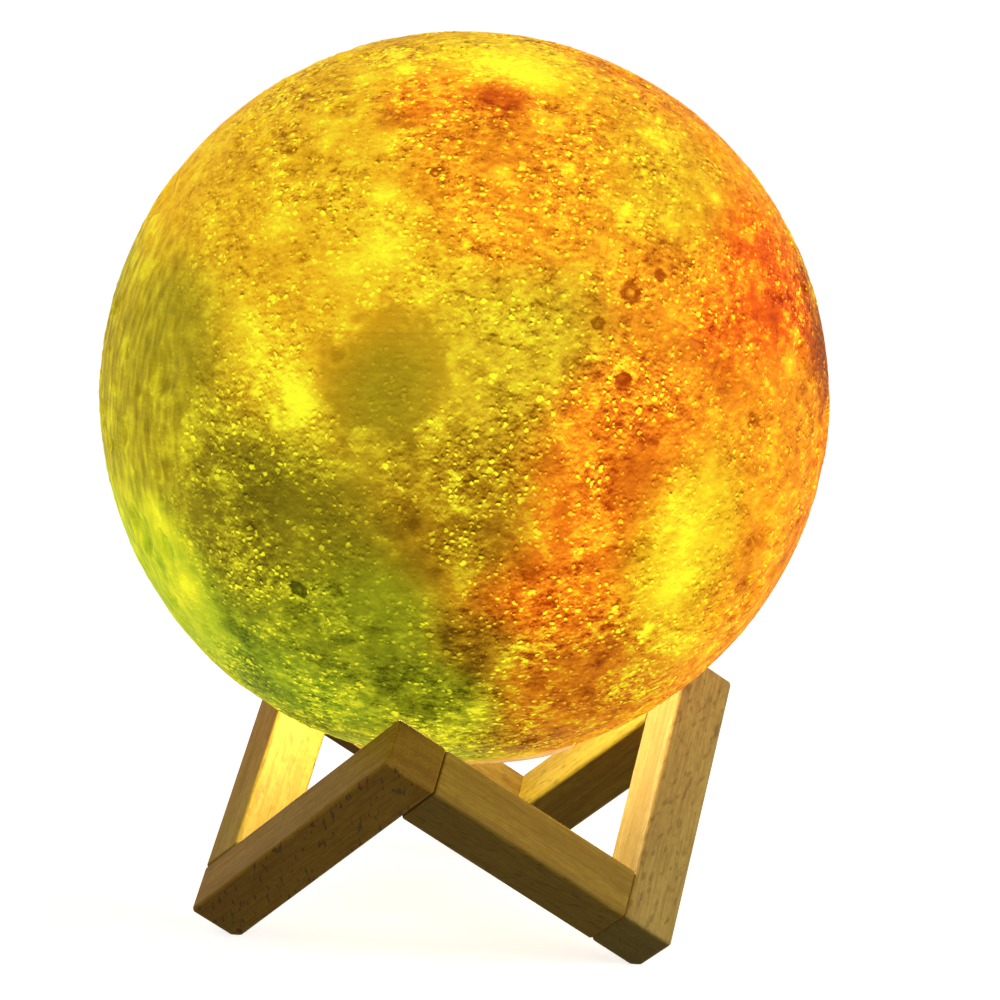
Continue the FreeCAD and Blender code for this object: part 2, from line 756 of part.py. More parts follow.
def make_led_chips():
    chips = []
    for angle in evenly_round(led_count, 180.0 / led_count):
        chip = block(led_size, led_size, led_board_top_z, led_top_z, led_circle_radius)
        well = cylinder(led_well_radius, led_top_z - led_well_depth, led_top_z, led_circle_radius)
        chips.append(spun(chip.cut(well), angle))
    export_group("led_chips", chips)


def make_receiver():
    body = block(receiver_width, receiver_depth, led_board_top_z, led_board_top_z + receiver_height)
    lens_place = Vector(0, receiver_lens_sunk - receiver_depth / 2, led_board_top_z + receiver_lens_height)
    export("remote_receiver", body.fuse(Part.makeSphere(receiver_lens_radius, lens_place)))


def thimble(radius):
    """A straight side with a half sphere on top, solid, at the dome's place."""
    side = cylinder(radius, dome_seat_z, dome_spring_z)
    cap = Part.makeSphere(radius, Vector(0, 0, dome_spring_z)).cut(
        cylinder(radius + cut_over, dome_spring_z - radius - cut_over, dome_spring_z))
    return side.fuse(cap).removeSplitter()


def make_led_wires():
    top_z = led_board_top_z + led_wire_proud
    middle_z = (board_top_z + top_z) / 2
    strands = []
    for x in wire_offsets(led_wire_count):
        strands.append(wire([
            (x, led_wire_y, board_top_z),
            (x, led_wire_y, board_top_z + led_wire_straight_low),
            (x, led_wire_y - led_wire_bow, middle_z),
            (x, led_wire_y, top_z - led_wire_straight_high),
            (x, led_wire_y, top_z),
        ]))
    export_group("led_wires", strands)


def main():
    os.makedirs("parts", exist_ok=True)
    make_stand()
    make_shell()
    make_collar()
    make_base_plate()
    make_touch_ring()
    make_housing()
    make_screws()
    make_control_board()
    make_socket()
    make_button()
    make_indicator()
    make_battery()
    make_led_board()
    make_led_chips()
    make_receiver()
    export("diffuser_dome", thimble(dome_outer_radius).cut(thimble(dome_inner_radius)))
    make_led_wires()


main()
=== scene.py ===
"""Looks of a glowing moon lamp on a wooden stand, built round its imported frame. Metres, +Z up."""

import math

import bmesh
import bpy
import numpy as np
from mathutils import Matrix, Vector, noise


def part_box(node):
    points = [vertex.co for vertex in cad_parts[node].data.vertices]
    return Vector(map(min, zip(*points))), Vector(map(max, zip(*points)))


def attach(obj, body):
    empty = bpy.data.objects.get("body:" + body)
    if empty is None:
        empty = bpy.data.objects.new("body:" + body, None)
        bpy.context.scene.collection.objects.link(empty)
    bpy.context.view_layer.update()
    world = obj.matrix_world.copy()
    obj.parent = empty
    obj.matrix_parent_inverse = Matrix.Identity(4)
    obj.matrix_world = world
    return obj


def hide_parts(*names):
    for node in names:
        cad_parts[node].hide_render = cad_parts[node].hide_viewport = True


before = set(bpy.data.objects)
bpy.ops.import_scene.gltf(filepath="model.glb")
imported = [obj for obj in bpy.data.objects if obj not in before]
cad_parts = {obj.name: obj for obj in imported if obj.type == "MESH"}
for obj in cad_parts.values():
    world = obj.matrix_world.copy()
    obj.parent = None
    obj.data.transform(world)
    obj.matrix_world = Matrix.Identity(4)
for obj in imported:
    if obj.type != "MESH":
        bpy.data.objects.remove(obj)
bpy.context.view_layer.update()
bpy.context.scene.view_settings.view_transform = "Standard"

MM = 0.001

# ---------------------------------------------------------------- camera
# fitted to the stand's corners
CAMERA_AZIMUTH = 14.72          # degrees, from straight in front towards the right
CAMERA_ELEVATION = 9.98
CAMERA_DISTANCE = 866.1 * MM
CAMERA_LENS = 150.87            # millimetres, on the usual 36 mm sensor
TARGET_RIGHT = 7.29 * MM
TARGET_HEIGHT = 88.95 * MM

# ---------------------------------------------------------------- light and floor
LAMP_MIDDLE = Vector((0, 0, 80)) * MM       # what the soft lights stand round and aim at
LIGHT_DISTANCE = 1.2
GLOW_PLACE = Vector((-6, 6, 75)) * MM       # of the light that the ball casts on the stand
GLOW_RADIUS = 3 * MM
GLOW_POWER = 0.33
WORLD_LIGHT = (0.27, 0.27, 0.25, 1)
FLOOR_SIZE = 12.0
FLOOR_GLOW = 0.75               # of the floor where it is seen, so that it looks nearly white

# ---------------------------------------------------------------- the ball
ball_low, ball_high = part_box("moon_shell")
BALL_RADIUS = (ball_high.x - ball_low.x) / 2
BALL_CENTRE = Vector((0, 0, ball_high.z - BALL_RADIUS))
FLAT_HEIGHT = ball_low.z - BALL_CENTRE.z        # of the small flat round the hole, from the centre
HOLE_RADIUS = 22 * MM
SHELL_WALL = 2 * MM
SKIN_DEPTH = 0.25 * MM          # of the plain surface below the highest rims
DEEPEST = 1.4 * MM              # of any bowl below the highest rims
OUTER_SPLITS = 3                # of the starting ball's faces, before its edges are divided
EDGE_PARTS = 24                 # pieces that each edge of the outer starting ball is divided into
INNER_SPLITS = 5                # of the plain inner ball's faces
CUT_TOLERANCE = 1e-7
PEAK_AZIMUTHS = (-90, 30, 150)
PEAK_FALL = 52.0                # degrees below the ball's middle where the peaks touch it
PEAK_CALM = 7.0                 # millimetres of plain ground round a peak of the stand
COLLAR_CALM = 26.0              # and round the middle of the collar
CALM_EDGE = (0.8, 1.3)          # shares of that reach between which the relief comes back

# places on the ball are given as millimetres to the right and up from the middle of its disc, as
# the camera sees it
DISC_RADIUS = 75.0

# dark plains: right, up, radius, depth of tone, softness of the edge, smoothness
SEAS = [
    (-15.3, 4.9, 12.5, 0.34, 0.14, 0.80),
    (-44.7, -16.9, 9.0, 0.20, 0.7, 0.15),
    (-33.3, -19.1, 10.0, 0.05, 0.7, 0.15),
    (-23.7, -27.1, 14.0, 0.18, 0.6, 0.5),
    (-13.3, -43.1, 11.0, 0.18, 0.6, 0.5),
    (-51.8, -39.2, 2.6, 0.55, 0.6, 0.0),
    (-49.8, -44.0, 2.8, 0.60, 0.6, 0.0),
    (-46.8, -48.4, 2.8, 0.55, 0.6, 0.0),
    (-50.3, -43.5, 8.0, 0.15, 0.6, 0.3),
    (-16.5, -55.1, 9.0, 0.30, 0.6, 0.5),
    (-5.3, -33.1, 8.0, 0.20, 0.7, 0.1),
    (12.0, -6.0, 9.0, 0.15, 0.8, 0.0),
    (-9.0, -11.0, 6.0, 0.14, 0.7, 0.0),
    (19.0, -41.0, 11.0, 0.20, 0.8, 0.0),
    (19.0, -58.0, 8.0, 0.15, 0.8, 0.0),
    (-62.3, 14.9, 14.0, 0.45, 0.8, 0.4),
    (73.0, 9.0, 11.0, 0.85, 0.7, 0.0),
    (-7.0, -59.0, 10.0, 0.36, 0.7, 0.0),
    (3.0, -47.0, 8.0, 0.26, 0.7, 0.0),
    (-32.0, -54.0, 10.0, 0.16, 0.7, 0.0),
    (8.1, 61.5, 4.5, 0.60, 0.4, 0.3),
    (41.3, 29.9, 4.5, 0.45, 0.6, 0.3),
    (23.7, 5.7, 3.5, 0.50, 0.6, 0.2),
    (34.3, -18.7, 5.5, 0.36, 0.5, 0.4),
    (26.7, -33.3, 3.0, 0.45, 0.6, 0.2),
    (32.1, -33.3, 3.0, 0.45, 0.6, 0.2),
    (-14.1, 57.5, 3.0, 0.45, 0.6, 0.2),
    (63.9, 17.5, 3.5, 0.45, 0.6, 0.2),
]
FLOOR_LEVEL = 0.06              # how bright the sharpest craters' floors are

# craters with dark floors: right, up, radius, brightness of the middle
DARK_CRATERS = [
    (34.3, 21.5, 2.8, 0.7),
    (40.3, 25.1, 1.7, 0.0),
    (27.5, 15.1, 1.6, 0.5),
    (32.7, 3.3, 2.1, 0.0),
    (-5.9, 46.1, 1.3, 0.9),
    (-34.5, -39.9, 2.4, 0.3),
]

# bright patches: right, up, radius, brightness
BRIGHT_PATCHES = [
    (8.7, 68.1, 9.0, 1.3),
    (16.0, 64.5, 6.0, 0.8),
    (-12.1, 67.3, 3.0, 0.9),
    (-20.7, 65.5, 3.0, 0.9),
    (-14.1, 52.9, 4.0, 0.8),
    (-16.1, 41.1, 5.0, 0.9),
    (-38.5, 36.1, 4.0, 0.6),
    (-16.5, 30.9, 7.0, 1.0),
    (-23.7, 25.9, 5.0, 0.8),
    (-44.7, 16.7, 5.0, 0.7),
    (-22.3, 15.1, 4.0, 0.6),
    (-42.5, 9.1, 6.0, 1.0),
    (-36.5, 3.9, 5.0, 0.9),
    (-33.9, -2.1, 4.5, 1.5),
    (16.7, 56.1, 4.0, 0.9),
    (8.1, 45.5, 2.5, 1.0),
    (20.9, 46.9, 2.5, 0.8),
    (40.3, 52.5, 3.5, 1.0),
    (51.5, 40.9, 2.5, 1.0),
    (33.9, 37.7, 3.5, 1.0),
    (42.1, 35.1, 2.5, 0.9),
    (0.5, 26.9, 2.5, 0.6),
    (3.0, 10.0, 8.0, 0.12),
    (18.0, 12.0, 6.0, 0.12),
    (-38.0, -9.0, 5.0, 0.50),
    (-27.0, -15.0, 5.0, 0.50),
    (-33.0, -31.0, 6.0, 0.50),
    (37.0, 45.0, 6.0, 0.12),
    (-24.0, 58.0, 5.0, 0.35),
    (43.9, 16.9, 3.0, 0.5),
    (67.1, 6.1, 3.0, 0.9),
    (32.1, 6.5, 2.0, 0.7),
    (42.9, -22.1, 4.5, 0.7),
    (46.1, -27.5, 4.5, 0.7),
    (41.3, -40.9, 5.0, 0.7),
    (40.7, -50.5, 4.0, 0.8),
    (45.1, -51.1, 4.0, 0.7),
    (16.1, -31.3, 1.5, 0.6),
    (27.1, -47.5, 2.0, 0.6),
    (50.7, -51.9, 3.0, 0.6),
    (12.9, -67.3, 2.0, 0.8),
    (26.9, -67.3, 2.0, 0.6),
    (2.1, -64.5, 2.5, 0.8),
    (-63.7, -24.7, 6.0, 0.9),
    (-56.9, -39.3, 5.0, 0.9),
    (44.8, -31.2, 5.0, 0.8),
    (44.0, -37.0, 5.0, 0.7),
    (-33.5, -27.1, 3.0, 0.5),
    (-46.1, -34.3, 4.0, 0.5),
]

# soft areas of colour: right, up, reach, colour
PALETTE = {
    "lemon": (244, 196, 30),
    "gold": (235, 178, 28),
    "amber": (250, 152, 26),
    "tangerine": (252, 132, 22),
    "vermilion": (252, 104, 16),
    "rust": (214, 122, 18),
    "mustard": (218, 180, 32),
    "bronze": (196, 160, 26),
    "umber": (176, 132, 18),
    "olive": (176, 158, 26),
    "moss": (138, 124, 18),
    "leaf": (152, 158, 24),
    "lime": (182, 198, 36),
    "grass": (146, 166, 28),
}
WASHES = [
    (-33, 50, 25, "gold"),
    (13, 70, 12, "lemon"),
    (20, 50, 16, "amber"),
    (38, 44, 14, "gold"),
    (-25, 20, 20, "gold"),
    (2, 6, 16, "mustard"),
    (-62, 10, 15, "olive"),
    (-40, -25, 15, "moss"),
    (-60, -40, 12, "lime"),
    (-5, -62, 12, "leaf"),
    (-25, -50, 15, "leaf"),
    (31, -6, 13, "tangerine"),
    (66, -5, 12, "amber"),
    (62, -30, 13, "amber"),
    (46, -32, 13, "lemon"),
    (19, -58, 14, "rust"),
    (3, -24, 12, "umber"),
    (13, 14, 13, "mustard"),
    (42, 22, 12, "amber"),
    (24, -24, 12, "tangerine"),
    (19, -43, 12, "tangerine"),
    (61, 22, 13, "vermilion"),
    (50, 16, 6, "vermilion"),
    (11, 36, 12, "amber"),
    (4, -52, 8, "umber"),
    (8, 61, 6, "vermilion"),
    (2, 48, 14, "amber"),
    (-8, 60, 10, "tangerine"),
    (-17, 4, 12, "olive"),
    (-73, 22, 12, "olive"),
    (-74, -8, 12, "olive"),
    (-72, -22, 12, "lime"),
    (-55, 50, 12, "gold"),
    (-30, 68, 12, "gold"),
    (30, 68, 12, "amber"),
    (56, 52, 12, "amber"),
    (74, 12, 9, "rust"),
    (73, -18, 12, "tangerine"),
    (56, -50, 12, "amber"),
    (-34, -60, 12, "grass"),
    (-22, -71, 12, "leaf"),
]
FAR_WASHES = ("amber", "gold", "tangerine", "bronze", "lemon", "rust", "olive", "amber", "lime",
              "vermilion")
FAR_WASH_REACH = 18.0
FAR_WASH_COUNT = 40
FAR_SIDE = -0.25                # cosine to the viewer's direction below which a place is far
FAR_FEATURE_COUNT = 90
FAR_SEA_SHARE = 0.4             # of the far side's features, the others being bright patches
FAR_RADII = (3, 12)
FAR_AMOUNTS = (0.3, 0.9)
RANDOM_CRATER_COUNT = 1400
SEED = 7

SWELL_SHIFT = (3.7, 11.3, 5.9)  # moves the noise for each further layer of it
SWELL_KIND = (0.9, 2.0, 4)      # how fast smaller swells fade, how much smaller each is, how many

# relief, in millimetres
SEA_SINK = 0.4                  # how much lower a smooth plain lies
SMALLEST_CRATER = 0.9           # radius
LARGEST_CRATER = 6.5
CRATER_SPREAD = -0.55           # power of a random share, which makes most craters small
SEA_CRATER_SHARE = 0.3          # of the craters on plains that are kept
CRATER_REACH = 2.2              # radii within which a crater changes the ground
CRATER_WAVER = 0.12             # share of the middle swells in its outline
CRATER_DEPTH = 0.30             # to which a share of the radius is added
CRATER_DEPTH_SHARE = 0.12
CRATER_MOST_DEPTH = 1.0
RIM_HEIGHT = 0.25               # share of the depth
RIM_WIDTH = 0.22                # share of the radius, as the next four are
FLOOR_EDGE = (0.70, 0.95)       # where a floor's tone fades out
RIM_TONE_PLACE = 1.08
RIM_TONE_WIDTH = 0.20
PATCH_SPREAD = 0.8

# tone, where 0 is the plain colour, and grit, where 1 is the plain strength of the fine texture
MOTTLED_TONE = 0.26             # shares of the large, middle and small swells in the tone
RAGGED_TONE = 0.36
FINE_TONE = 0.42
TONE_RANGE = (-0.75, 1.6)
FLOOR_TONES = (-0.30, 0.12)
RIM_TONES = (0.0, 0.28)
DARK_CRATER_TONES = (-0.20, 0.30)       # of the floor and the rim
GRIT_MEAN = 0.9
GRIT_SWING = 0.9
GRIT_RANGE = (0.55, 1.4)
SIDES = (0.40, 0.80)            # shares of the radius between which the ball's sides grow calmer
SIDE_GRIT = (1.14, 0.72)        # in the middle and at the sides
STREAKED_SIDE = (0.60, 0.85)    # shares of the radius between which streaks take over on the left
STREAKED_DARKNESS = 0.7         # how much of the dark tones the streaks take away
WASH_SPREAD = 1.2
WASH_FALL = 4                   # how sharply a soft area gives way to the next
WASH_WAVER = (0.25, 0.15)       # shares of the largest and the middle swells in its edge

# shares of the fine textures, and of the painted light and shade on their relief, in the ball's
# brightness, where 0.5 is the plain colour
ROUGH_GRAIN = 1.6
ROUGH_LIT_EDGE = 2.3
ROUGH_DUST = 0.7
LEVEL_PLAIN = 0.49
LEVEL_TONE = 0.55
LEVEL_ROUGH = 0.48
LEVEL_DOTS = 0.56
# painted shadow beside each dot
LEVEL_DOT_SHADE = -0.26
LEVEL_STREAKS = 1.1
LEVEL_PRINT_LINES = 0.14
FLOOR_ROUGH = 0.26              # of the grain, with its dust and the painted light and shade of its edges, on the floors of the sharpest craters
STREAK_CALM = 0.85              # how much of the grit the streaks take away
STREAK_MIDDLE = 0.46
STREAK_STRETCH = (1, 1, 0.28)           # long up and down
PRINT_LINE_STRETCH = (0.02, 0.02, 1.6)  # level lines
GRAIN_STRETCH = (1, 1, 1.22)    # the grain is a little wider than it is tall
LIT_STEP = 0.55                 # millimetres below, where the grain and dots are compared for their painted lit edges and painted shade

# how the ball's colour follows its brightness
DEEP_GAMMA = 1.55
DEEP_SHADE = (0.42, 0.42, 0.42, 1)
PALE_TINT = (255, 245, 44)
PALE_SHARE = 0.70
PALE_GAIN = 2.2
WHITEST = (255, 255, 46)
WHITEST_FROM = 0.90
WHITEST_GAIN = 3.0
BASE_SHADE = (0.16, 0.16, 0.16, 1)      # of the base colour against the glow


def linear(red, green, blue):
    """A colour written as 0 to 255 screen values, as linear light with full alpha."""
    def channel(value):
        value /= 255
        return value / 12.92 if value <= 0.04045 else ((value + 0.055) / 1.055) ** 2.4
    return (channel(red), channel(green), channel(blue), 1.0)


# ---------------------------------------------------------------- node helpers
def new_material(name):
    material = bpy.data.materials.new(name)
    material.use_nodes = True
    return material, material.node_tree, material.node_tree.nodes["Principled BSDF"]


def fill(tree, socket, value):
    """Sets a socket to a value, or links it from another socket."""
    if isinstance(value, bpy.types.NodeSocket):
        tree.links.new(value, socket)
    else:
        socket.default_value = value


def add(tree, kind, settings=(), **inputs):
    """Adds a node. An input's name is written with underscores for its spaces."""
    made = tree.nodes.new("ShaderNode" + kind)
    for name, value in settings:
        setattr(made, name, value)
    for name, value in inputs.items():
        fill(tree, made.inputs[name.replace("_", " ")], value)
    return made


def maths(tree, operation, first, second=0.0, clamp=False):
    made = add(tree, "Math", [("operation", operation), ("use_clamp", clamp)])
    fill(tree, made.inputs[0], first)
    fill(tree, made.inputs[1], second)
    return made.outputs[0]


def plus(tree, *terms):
    total = terms[0]
    for term in terms[1:]:
        total = maths(tree, "ADD", total, term)
    return total


def times(tree, first, second):
    return maths(tree, "MULTIPLY", first, second)


def remap(tree, value, low, high, to_low=0.0, to_high=1.0):
    """Stretches low..high to another range, clamped, with soft ends."""
    made = add(tree, "MapRange", [("interpolation_type", "SMOOTHSTEP")],
               Value=value, From_Min=low, From_Max=high, To_Min=to_low, To_Max=to_high)
    return made.outputs["Result"]


def blend_colours(tree, share, first, second, how="MIX"):
    made = add(tree, "Mix", [("data_type", "RGBA"), ("blend_type", how), ("clamp_factor", True)])
    fill(tree, made.inputs["Factor"], share)
    fill(tree, made.inputs[6], first)
    fill(tree, made.inputs[7], second)
    return made.outputs[2]


def places(tree, stretch=(1, 1, 1), shift=(0, 0, 0)):
    """The surface's own coordinates in millimetres, stretched by a factor each way and shifted."""
    scale = tuple(value / MM for value in stretch)
    return add(tree, "Mapping", Vector=add(tree, "TexCoord").outputs["Object"],
               Scale=scale, Location=shift).outputs["Vector"]


def clouds(tree, where, scale, detail=2.0, roughness=0.5):
    """Smooth noise, about 0 to 1, with scale swells in a millimetre."""
    made = add(tree, "TexNoise", Vector=where, Scale=scale, Detail=detail, Roughness=roughness)
    return made.outputs["Fac"]


def attribute(tree, name, output="Fac"):
    return add(tree, "Attribute", [("attribute_name", name)]).outputs[output]


def bump(tree, shader, height, distance, strength=1.0):
    made = add(tree, "Bump", Height=height, Distance=distance, Strength=strength)
    fill(tree, shader.inputs["Normal"], made.outputs["Normal"])


def dress(node, material):
    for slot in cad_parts[node].material_slots:
        slot.material = material


# ---------------------------------------------------------------- camera, floor and light
def camera_axes():
    """Unit vectors to the camera from what it looks at, to its right and up."""
    azimuth = math.radians(CAMERA_AZIMUTH)
    elevation = math.radians(CAMERA_ELEVATION)
    right = Vector((math.cos(azimuth), math.sin(azimuth), 0))
    back = Vector((math.sin(azimuth) * math.cos(elevation),
                   -math.cos(azimuth) * math.cos(elevation), math.sin(elevation)))
    return back, right, back.cross(right)


def camera_place():
    back, right, _ = camera_axes()
    return right * TARGET_RIGHT + Vector((0, 0, TARGET_HEIGHT)) + back * CAMERA_DISTANCE


def make_camera():
    back, right, up = camera_axes()
    data = bpy.data.cameras.new("camera")
    data.lens = CAMERA_LENS
    data.clip_start = 10 * MM
    camera = bpy.data.objects.new("camera", data)
    turned = Matrix((right, up, back)).transposed().to_4x4()
    camera.matrix_world = Matrix.Translation(camera_place()) @ turned
    bpy.context.scene.collection.objects.link(camera)
    bpy.context.scene.camera = camera


def seen_directly(tree):
    """1 where the camera, a mirror or glass looks, and 0 where light is gathered."""
    path = add(tree, "LightPath")
    seen = maths(tree, "MAXIMUM", path.outputs["Is Camera Ray"], path.outputs["Is Glossy Ray"])
    return maths(tree, "MAXIMUM", seen, path.outputs["Is Transmission Ray"])


def make_floor():
    """Nearly white where it is seen, and a warm grey where it lights the lamp from below."""
    half = FLOOR_SIZE / 2
    mesh = bpy.data.meshes.new("floor")
    corners = [(-half, -half, 0), (half, -half, 0), (half, half, 0), (-half, half, 0)]
    mesh.from_pydata(corners, [], [(0, 1, 2, 3)])
    floor = bpy.data.objects.new("floor", mesh)
    bpy.context.scene.collection.objects.link(floor)
    material, tree, shader = new_material("floor")
    seen = seen_directly(tree)
    shade = blend_colours(tree, seen, linear(102, 97, 84), linear(250, 250, 250))
    glow = blend_colours(tree, seen, (0, 0, 0, 1), (FLOOR_GLOW, FLOOR_GLOW, FLOOR_GLOW, 1))
    fill(tree, shader.inputs["Base Color"], shade)
    fill(tree, shader.inputs["Emission Color"], glow)
    shader.inputs["Emission Strength"].default_value = 1.0
    shader.inputs["Roughness"].default_value = 0.9
    shader.inputs["Specular IOR Level"].default_value = 0.1
    mesh.materials.append(material)


def make_world():
    world = bpy.data.worlds.new("studio")
    world.use_nodes = True
    tree = world.node_tree
    shown = blend_colours(tree, seen_directly(tree), WORLD_LIGHT, (1, 1, 1, 1))
    fill(tree, tree.nodes["Background"].inputs["Color"], shown)
    bpy.context.scene.world = world


def pointing(azimuth, elevation):
    """Unit vector, by degrees from +X and above level."""
    turn = math.radians(azimuth)
    rise = math.radians(elevation)
    flat = math.cos(rise)
    return Vector((flat * math.cos(turn), flat * math.sin(turn), math.sin(rise)))


def area_light(name, azimuth, elevation, size, power, colour=(1, 1, 1)):
    """A soft round light that aims at the lamp's middle."""
    data = bpy.data.lights.new(name, "AREA")
    data.shape = "DISK"
    data.size = size
    data.energy = power
    data.color = colour
    light = bpy.data.objects.new(name, data)
    light.location = LAMP_MIDDLE + pointing(azimuth, elevation) * LIGHT_DISTANCE
    light.rotation_euler = (LAMP_MIDDLE - light.location).to_track_quat("-Z", "Y").to_euler()
    bpy.context.scene.collection.objects.link(light)


def glow_light():
    """The ball's own light on the stand: it lights the stand alone."""
    data = bpy.data.lights.new("glow", "POINT")
    data.energy = GLOW_POWER
    data.color = linear(255, 250, 225)[:3]
    data.shadow_soft_size = GLOW_RADIUS
    light = bpy.data.objects.new("glow", data)
    light.location = GLOW_PLACE
    bpy.context.scene.collection.objects.link(light)
    stand = bpy.data.collections.new("stand_only")
    for name in (*RAILS, "peak_dowels", "foot_dowels"):
        stand.objects.link(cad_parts[name])
    light.light_linking.receiver_collection = stand
    light.light_linking.blocker_collection = stand


def make_lights():
    area_light("key", azimuth=-10, elevation=18, size=0.5, power=6.2)
    area_light("fill", azimuth=215, elevation=45, size=0.6, power=1.3, colour=(1.0, 0.94, 0.78))
    glow_light()


# ---------------------------------------------------------------- the ball's surface
TO_CAMERA = camera_place() - BALL_CENTRE
FACING = TO_CAMERA.normalized()
SIDEWAYS = Vector((0, 0, 1)).cross(FACING).normalized()     # to the right of the ball's disc
UPWARDS = FACING.cross(SIDEWAYS)


def on_disc(right, up):
    """Unit vector from the ball's centre to the place that the camera sees there on the disc."""
    distance = TO_CAMERA.length / BALL_RADIUS
    along = math.hypot(right, up)
    seen_at = math.atan(along / DISC_RADIUS * math.tan(math.asin(1 / distance)))
    turn = math.asin(min(1.0, distance * math.sin(seen_at))) - seen_at
    outward = (SIDEWAYS * right + UPWARDS * up) / along
    return FACING * math.cos(turn) + outward * math.sin(turn)


def spiral(count):
    """Unit vectors spread evenly over a ball."""
    golden_turn = math.pi * (3 - math.sqrt(5))
    for i in range(count):
        height = 1 - 2 * (i + 0.5) / count
        flat = math.sqrt(1 - height ** 2)
        yield Vector((flat * math.cos(i * golden_turn), flat * math.sin(i * golden_turn), height))


def faces_away(direction):
    return direction.dot(FACING) < FAR_SIDE


def swells(points, size, seed):
    """Smooth noise over points, about -1 to 1, whose largest swells are that many millimetres."""
    shift = Vector(SWELL_SHIFT) * seed
    values = [noise.fractal(Vector(point) / size + shift, *SWELL_KIND) for point in points]
    return np.array(values)


def soft_step(value, start, end):
    """0 at start, 1 at end and smooth between, over an array."""
    share = np.clip((value - start) / (end - start), 0, 1)
    return share * share * (3 - 2 * share)


class Surface:
    """Height, tone, grit and streaks at each point of the ball, given by unit vectors."""

    def __init__(self, directions):
        self.directions = directions
        self.points = directions * DISC_RADIUS
        self.height = np.zeros(len(directions))
        self.tone = np.zeros(len(directions))
        self.ragged = swells(self.points, size=9.0, seed=1)
        self.mottled = swells(self.points, size=22.0, seed=2)
        self.fine = swells(self.points, size=3.2, seed=3)
        self.streak = soft_step(directions @ -np.array(SIDEWAYS), *STREAKED_SIDE)
        side = soft_step(np.abs(directions @ np.array(SIDEWAYS)), *SIDES)
        patchy = swells(self.points, size=12.0, seed=4)
        self.grit = np.clip(GRIT_MEAN + GRIT_SWING * patchy, *GRIT_RANGE)
        self.grit *= np.interp(side, (0, 1), SIDE_GRIT)

    def distance(self, direction):
        """Millimetres along the surface from a place."""
        return np.arccos(np.clip(self.directions @ np.array(direction), -1, 1)) * DISC_RADIUS

    def wavering_distance(self, direction, ragged, fine):
        """The same, made longer and shorter by shares of the swells."""
        return self.distance(direction) * (1 + ragged * self.ragged + fine * self.fine)

    def add_sea(self, direction, radius, depth, softness, smoothness):
        distance = self.wavering_distance(direction, ragged=0.30, fine=0.22)
        inside = 1 - soft_step(distance, (1 - softness) * radius, (1 + softness) * radius)
        self.tone = self.tone * (1 - smoothness * inside) - depth * inside
        self.grit *= 1 - smoothness * inside
        self.height -= SEA_SINK * smoothness * inside

    def add_patch(self, direction, radius, brightness):
        distance = self.wavering_distance(direction, ragged=0.55, fine=0.50)
        self.tone += brightness * np.exp(-(distance / (PATCH_SPREAD * radius)) ** 2)

    def add_crater(self, direction, radius, floor_tone, rim_tone):
        """A round bowl with a raised rim that fades outside it."""
        reach = math.cos(CRATER_REACH * radius / DISC_RADIUS)
        near = np.nonzero(self.directions @ np.array(direction) > reach)[0]
        offset = self.directions[near] @ np.array(direction)
        share = np.arccos(np.clip(offset, -1, 1)) * DISC_RADIUS / radius
        share = share * (1 + CRATER_WAVER * self.ragged[near])
        depth = min(CRATER_DEPTH + CRATER_DEPTH_SHARE * radius, CRATER_MOST_DEPTH)
        bowl = np.where(share < 1, depth * (share ** 2 - 1), 0)
        rim = RIM_HEIGHT * depth * np.exp(-((share - 1) / RIM_WIDTH) ** 2)
        self.height[near] += bowl + rim
        self.tone[near] += floor_tone * (1 - soft_step(share, *FLOOR_EDGE))
        self.tone[near] += rim_tone * np.exp(-((share - RIM_TONE_PLACE) / RIM_TONE_WIDTH) ** 2)


def add_far_features(surface, random):
    """Bright patches on the side away from the viewer. Returns that side's dark plains."""
    seas = []
    for direction in spiral(FAR_FEATURE_COUNT):
        kind = random.random()
        radius = random.uniform(*FAR_RADII)
        amount = random.uniform(*FAR_AMOUNTS)
        if faces_away(direction) and kind < FAR_SEA_SHARE:
            seas.append((direction, radius, 0.7 * amount, 0.5, 0.5 * amount))
        elif faces_away(direction):
            surface.add_patch(direction, 0.6 * radius, amount)
    return seas


def add_random_craters(surface, random, seas):
    for _ in range(RANDOM_CRATER_COUNT):
        direction = Vector(random.normal(size=3)).normalized()
        radius = SMALLEST_CRATER * (1 - random.random()) ** CRATER_SPREAD
        floor_tone = random.uniform(*FLOOR_TONES)
        rim_tone = random.uniform(*RIM_TONES)
        keep = random.random()
        in_sea = any(direction.dot(sea[0]) > math.cos(sea[1] / DISC_RADIUS) for sea in seas)
        if radius < LARGEST_CRATER and (not in_sea or keep < SEA_CRATER_SHARE):
            surface.add_crater(direction, radius, floor_tone, rim_tone)


def add_features(surface):
    random = np.random.default_rng(SEED)
    surface.tone += (MOTTLED_TONE * surface.mottled + RAGGED_TONE * surface.ragged
                     + FINE_TONE * surface.fine)
    seas = [(on_disc(right, up), *rest) for right, up, *rest in SEAS]
    seas += add_far_features(surface, random)
    for right, up, radius, brightness in BRIGHT_PATCHES:
        surface.add_patch(on_disc(right, up), radius, brightness)
    for sea in seas:
        surface.add_sea(*sea)
    add_random_craters(surface, random, seas)
    for right, up, radius, _ in DARK_CRATERS:
        surface.add_crater(on_disc(right, up), radius, *DARK_CRATER_TONES)
    surface.tone = np.clip(surface.tone, *TONE_RANGE)
    surface.tone *= np.where(surface.tone < 0, 1 - STREAKED_DARKNESS * surface.streak, 1)


def wash_areas():
    """The soft areas of colour: a place, how far it reaches, and its colour as linear light."""
    areas = []
    for right, up, reach, name in WASHES:
        areas.append((on_disc(right, up), reach, linear(*PALETTE[name])[:3]))
    for i, direction in enumerate(spiral(FAR_WASH_COUNT)):
        if faces_away(direction):
            name = FAR_WASHES[i % len(FAR_WASHES)]
            areas.append((direction, FAR_WASH_REACH, linear(*PALETTE[name])[:3]))
    return areas


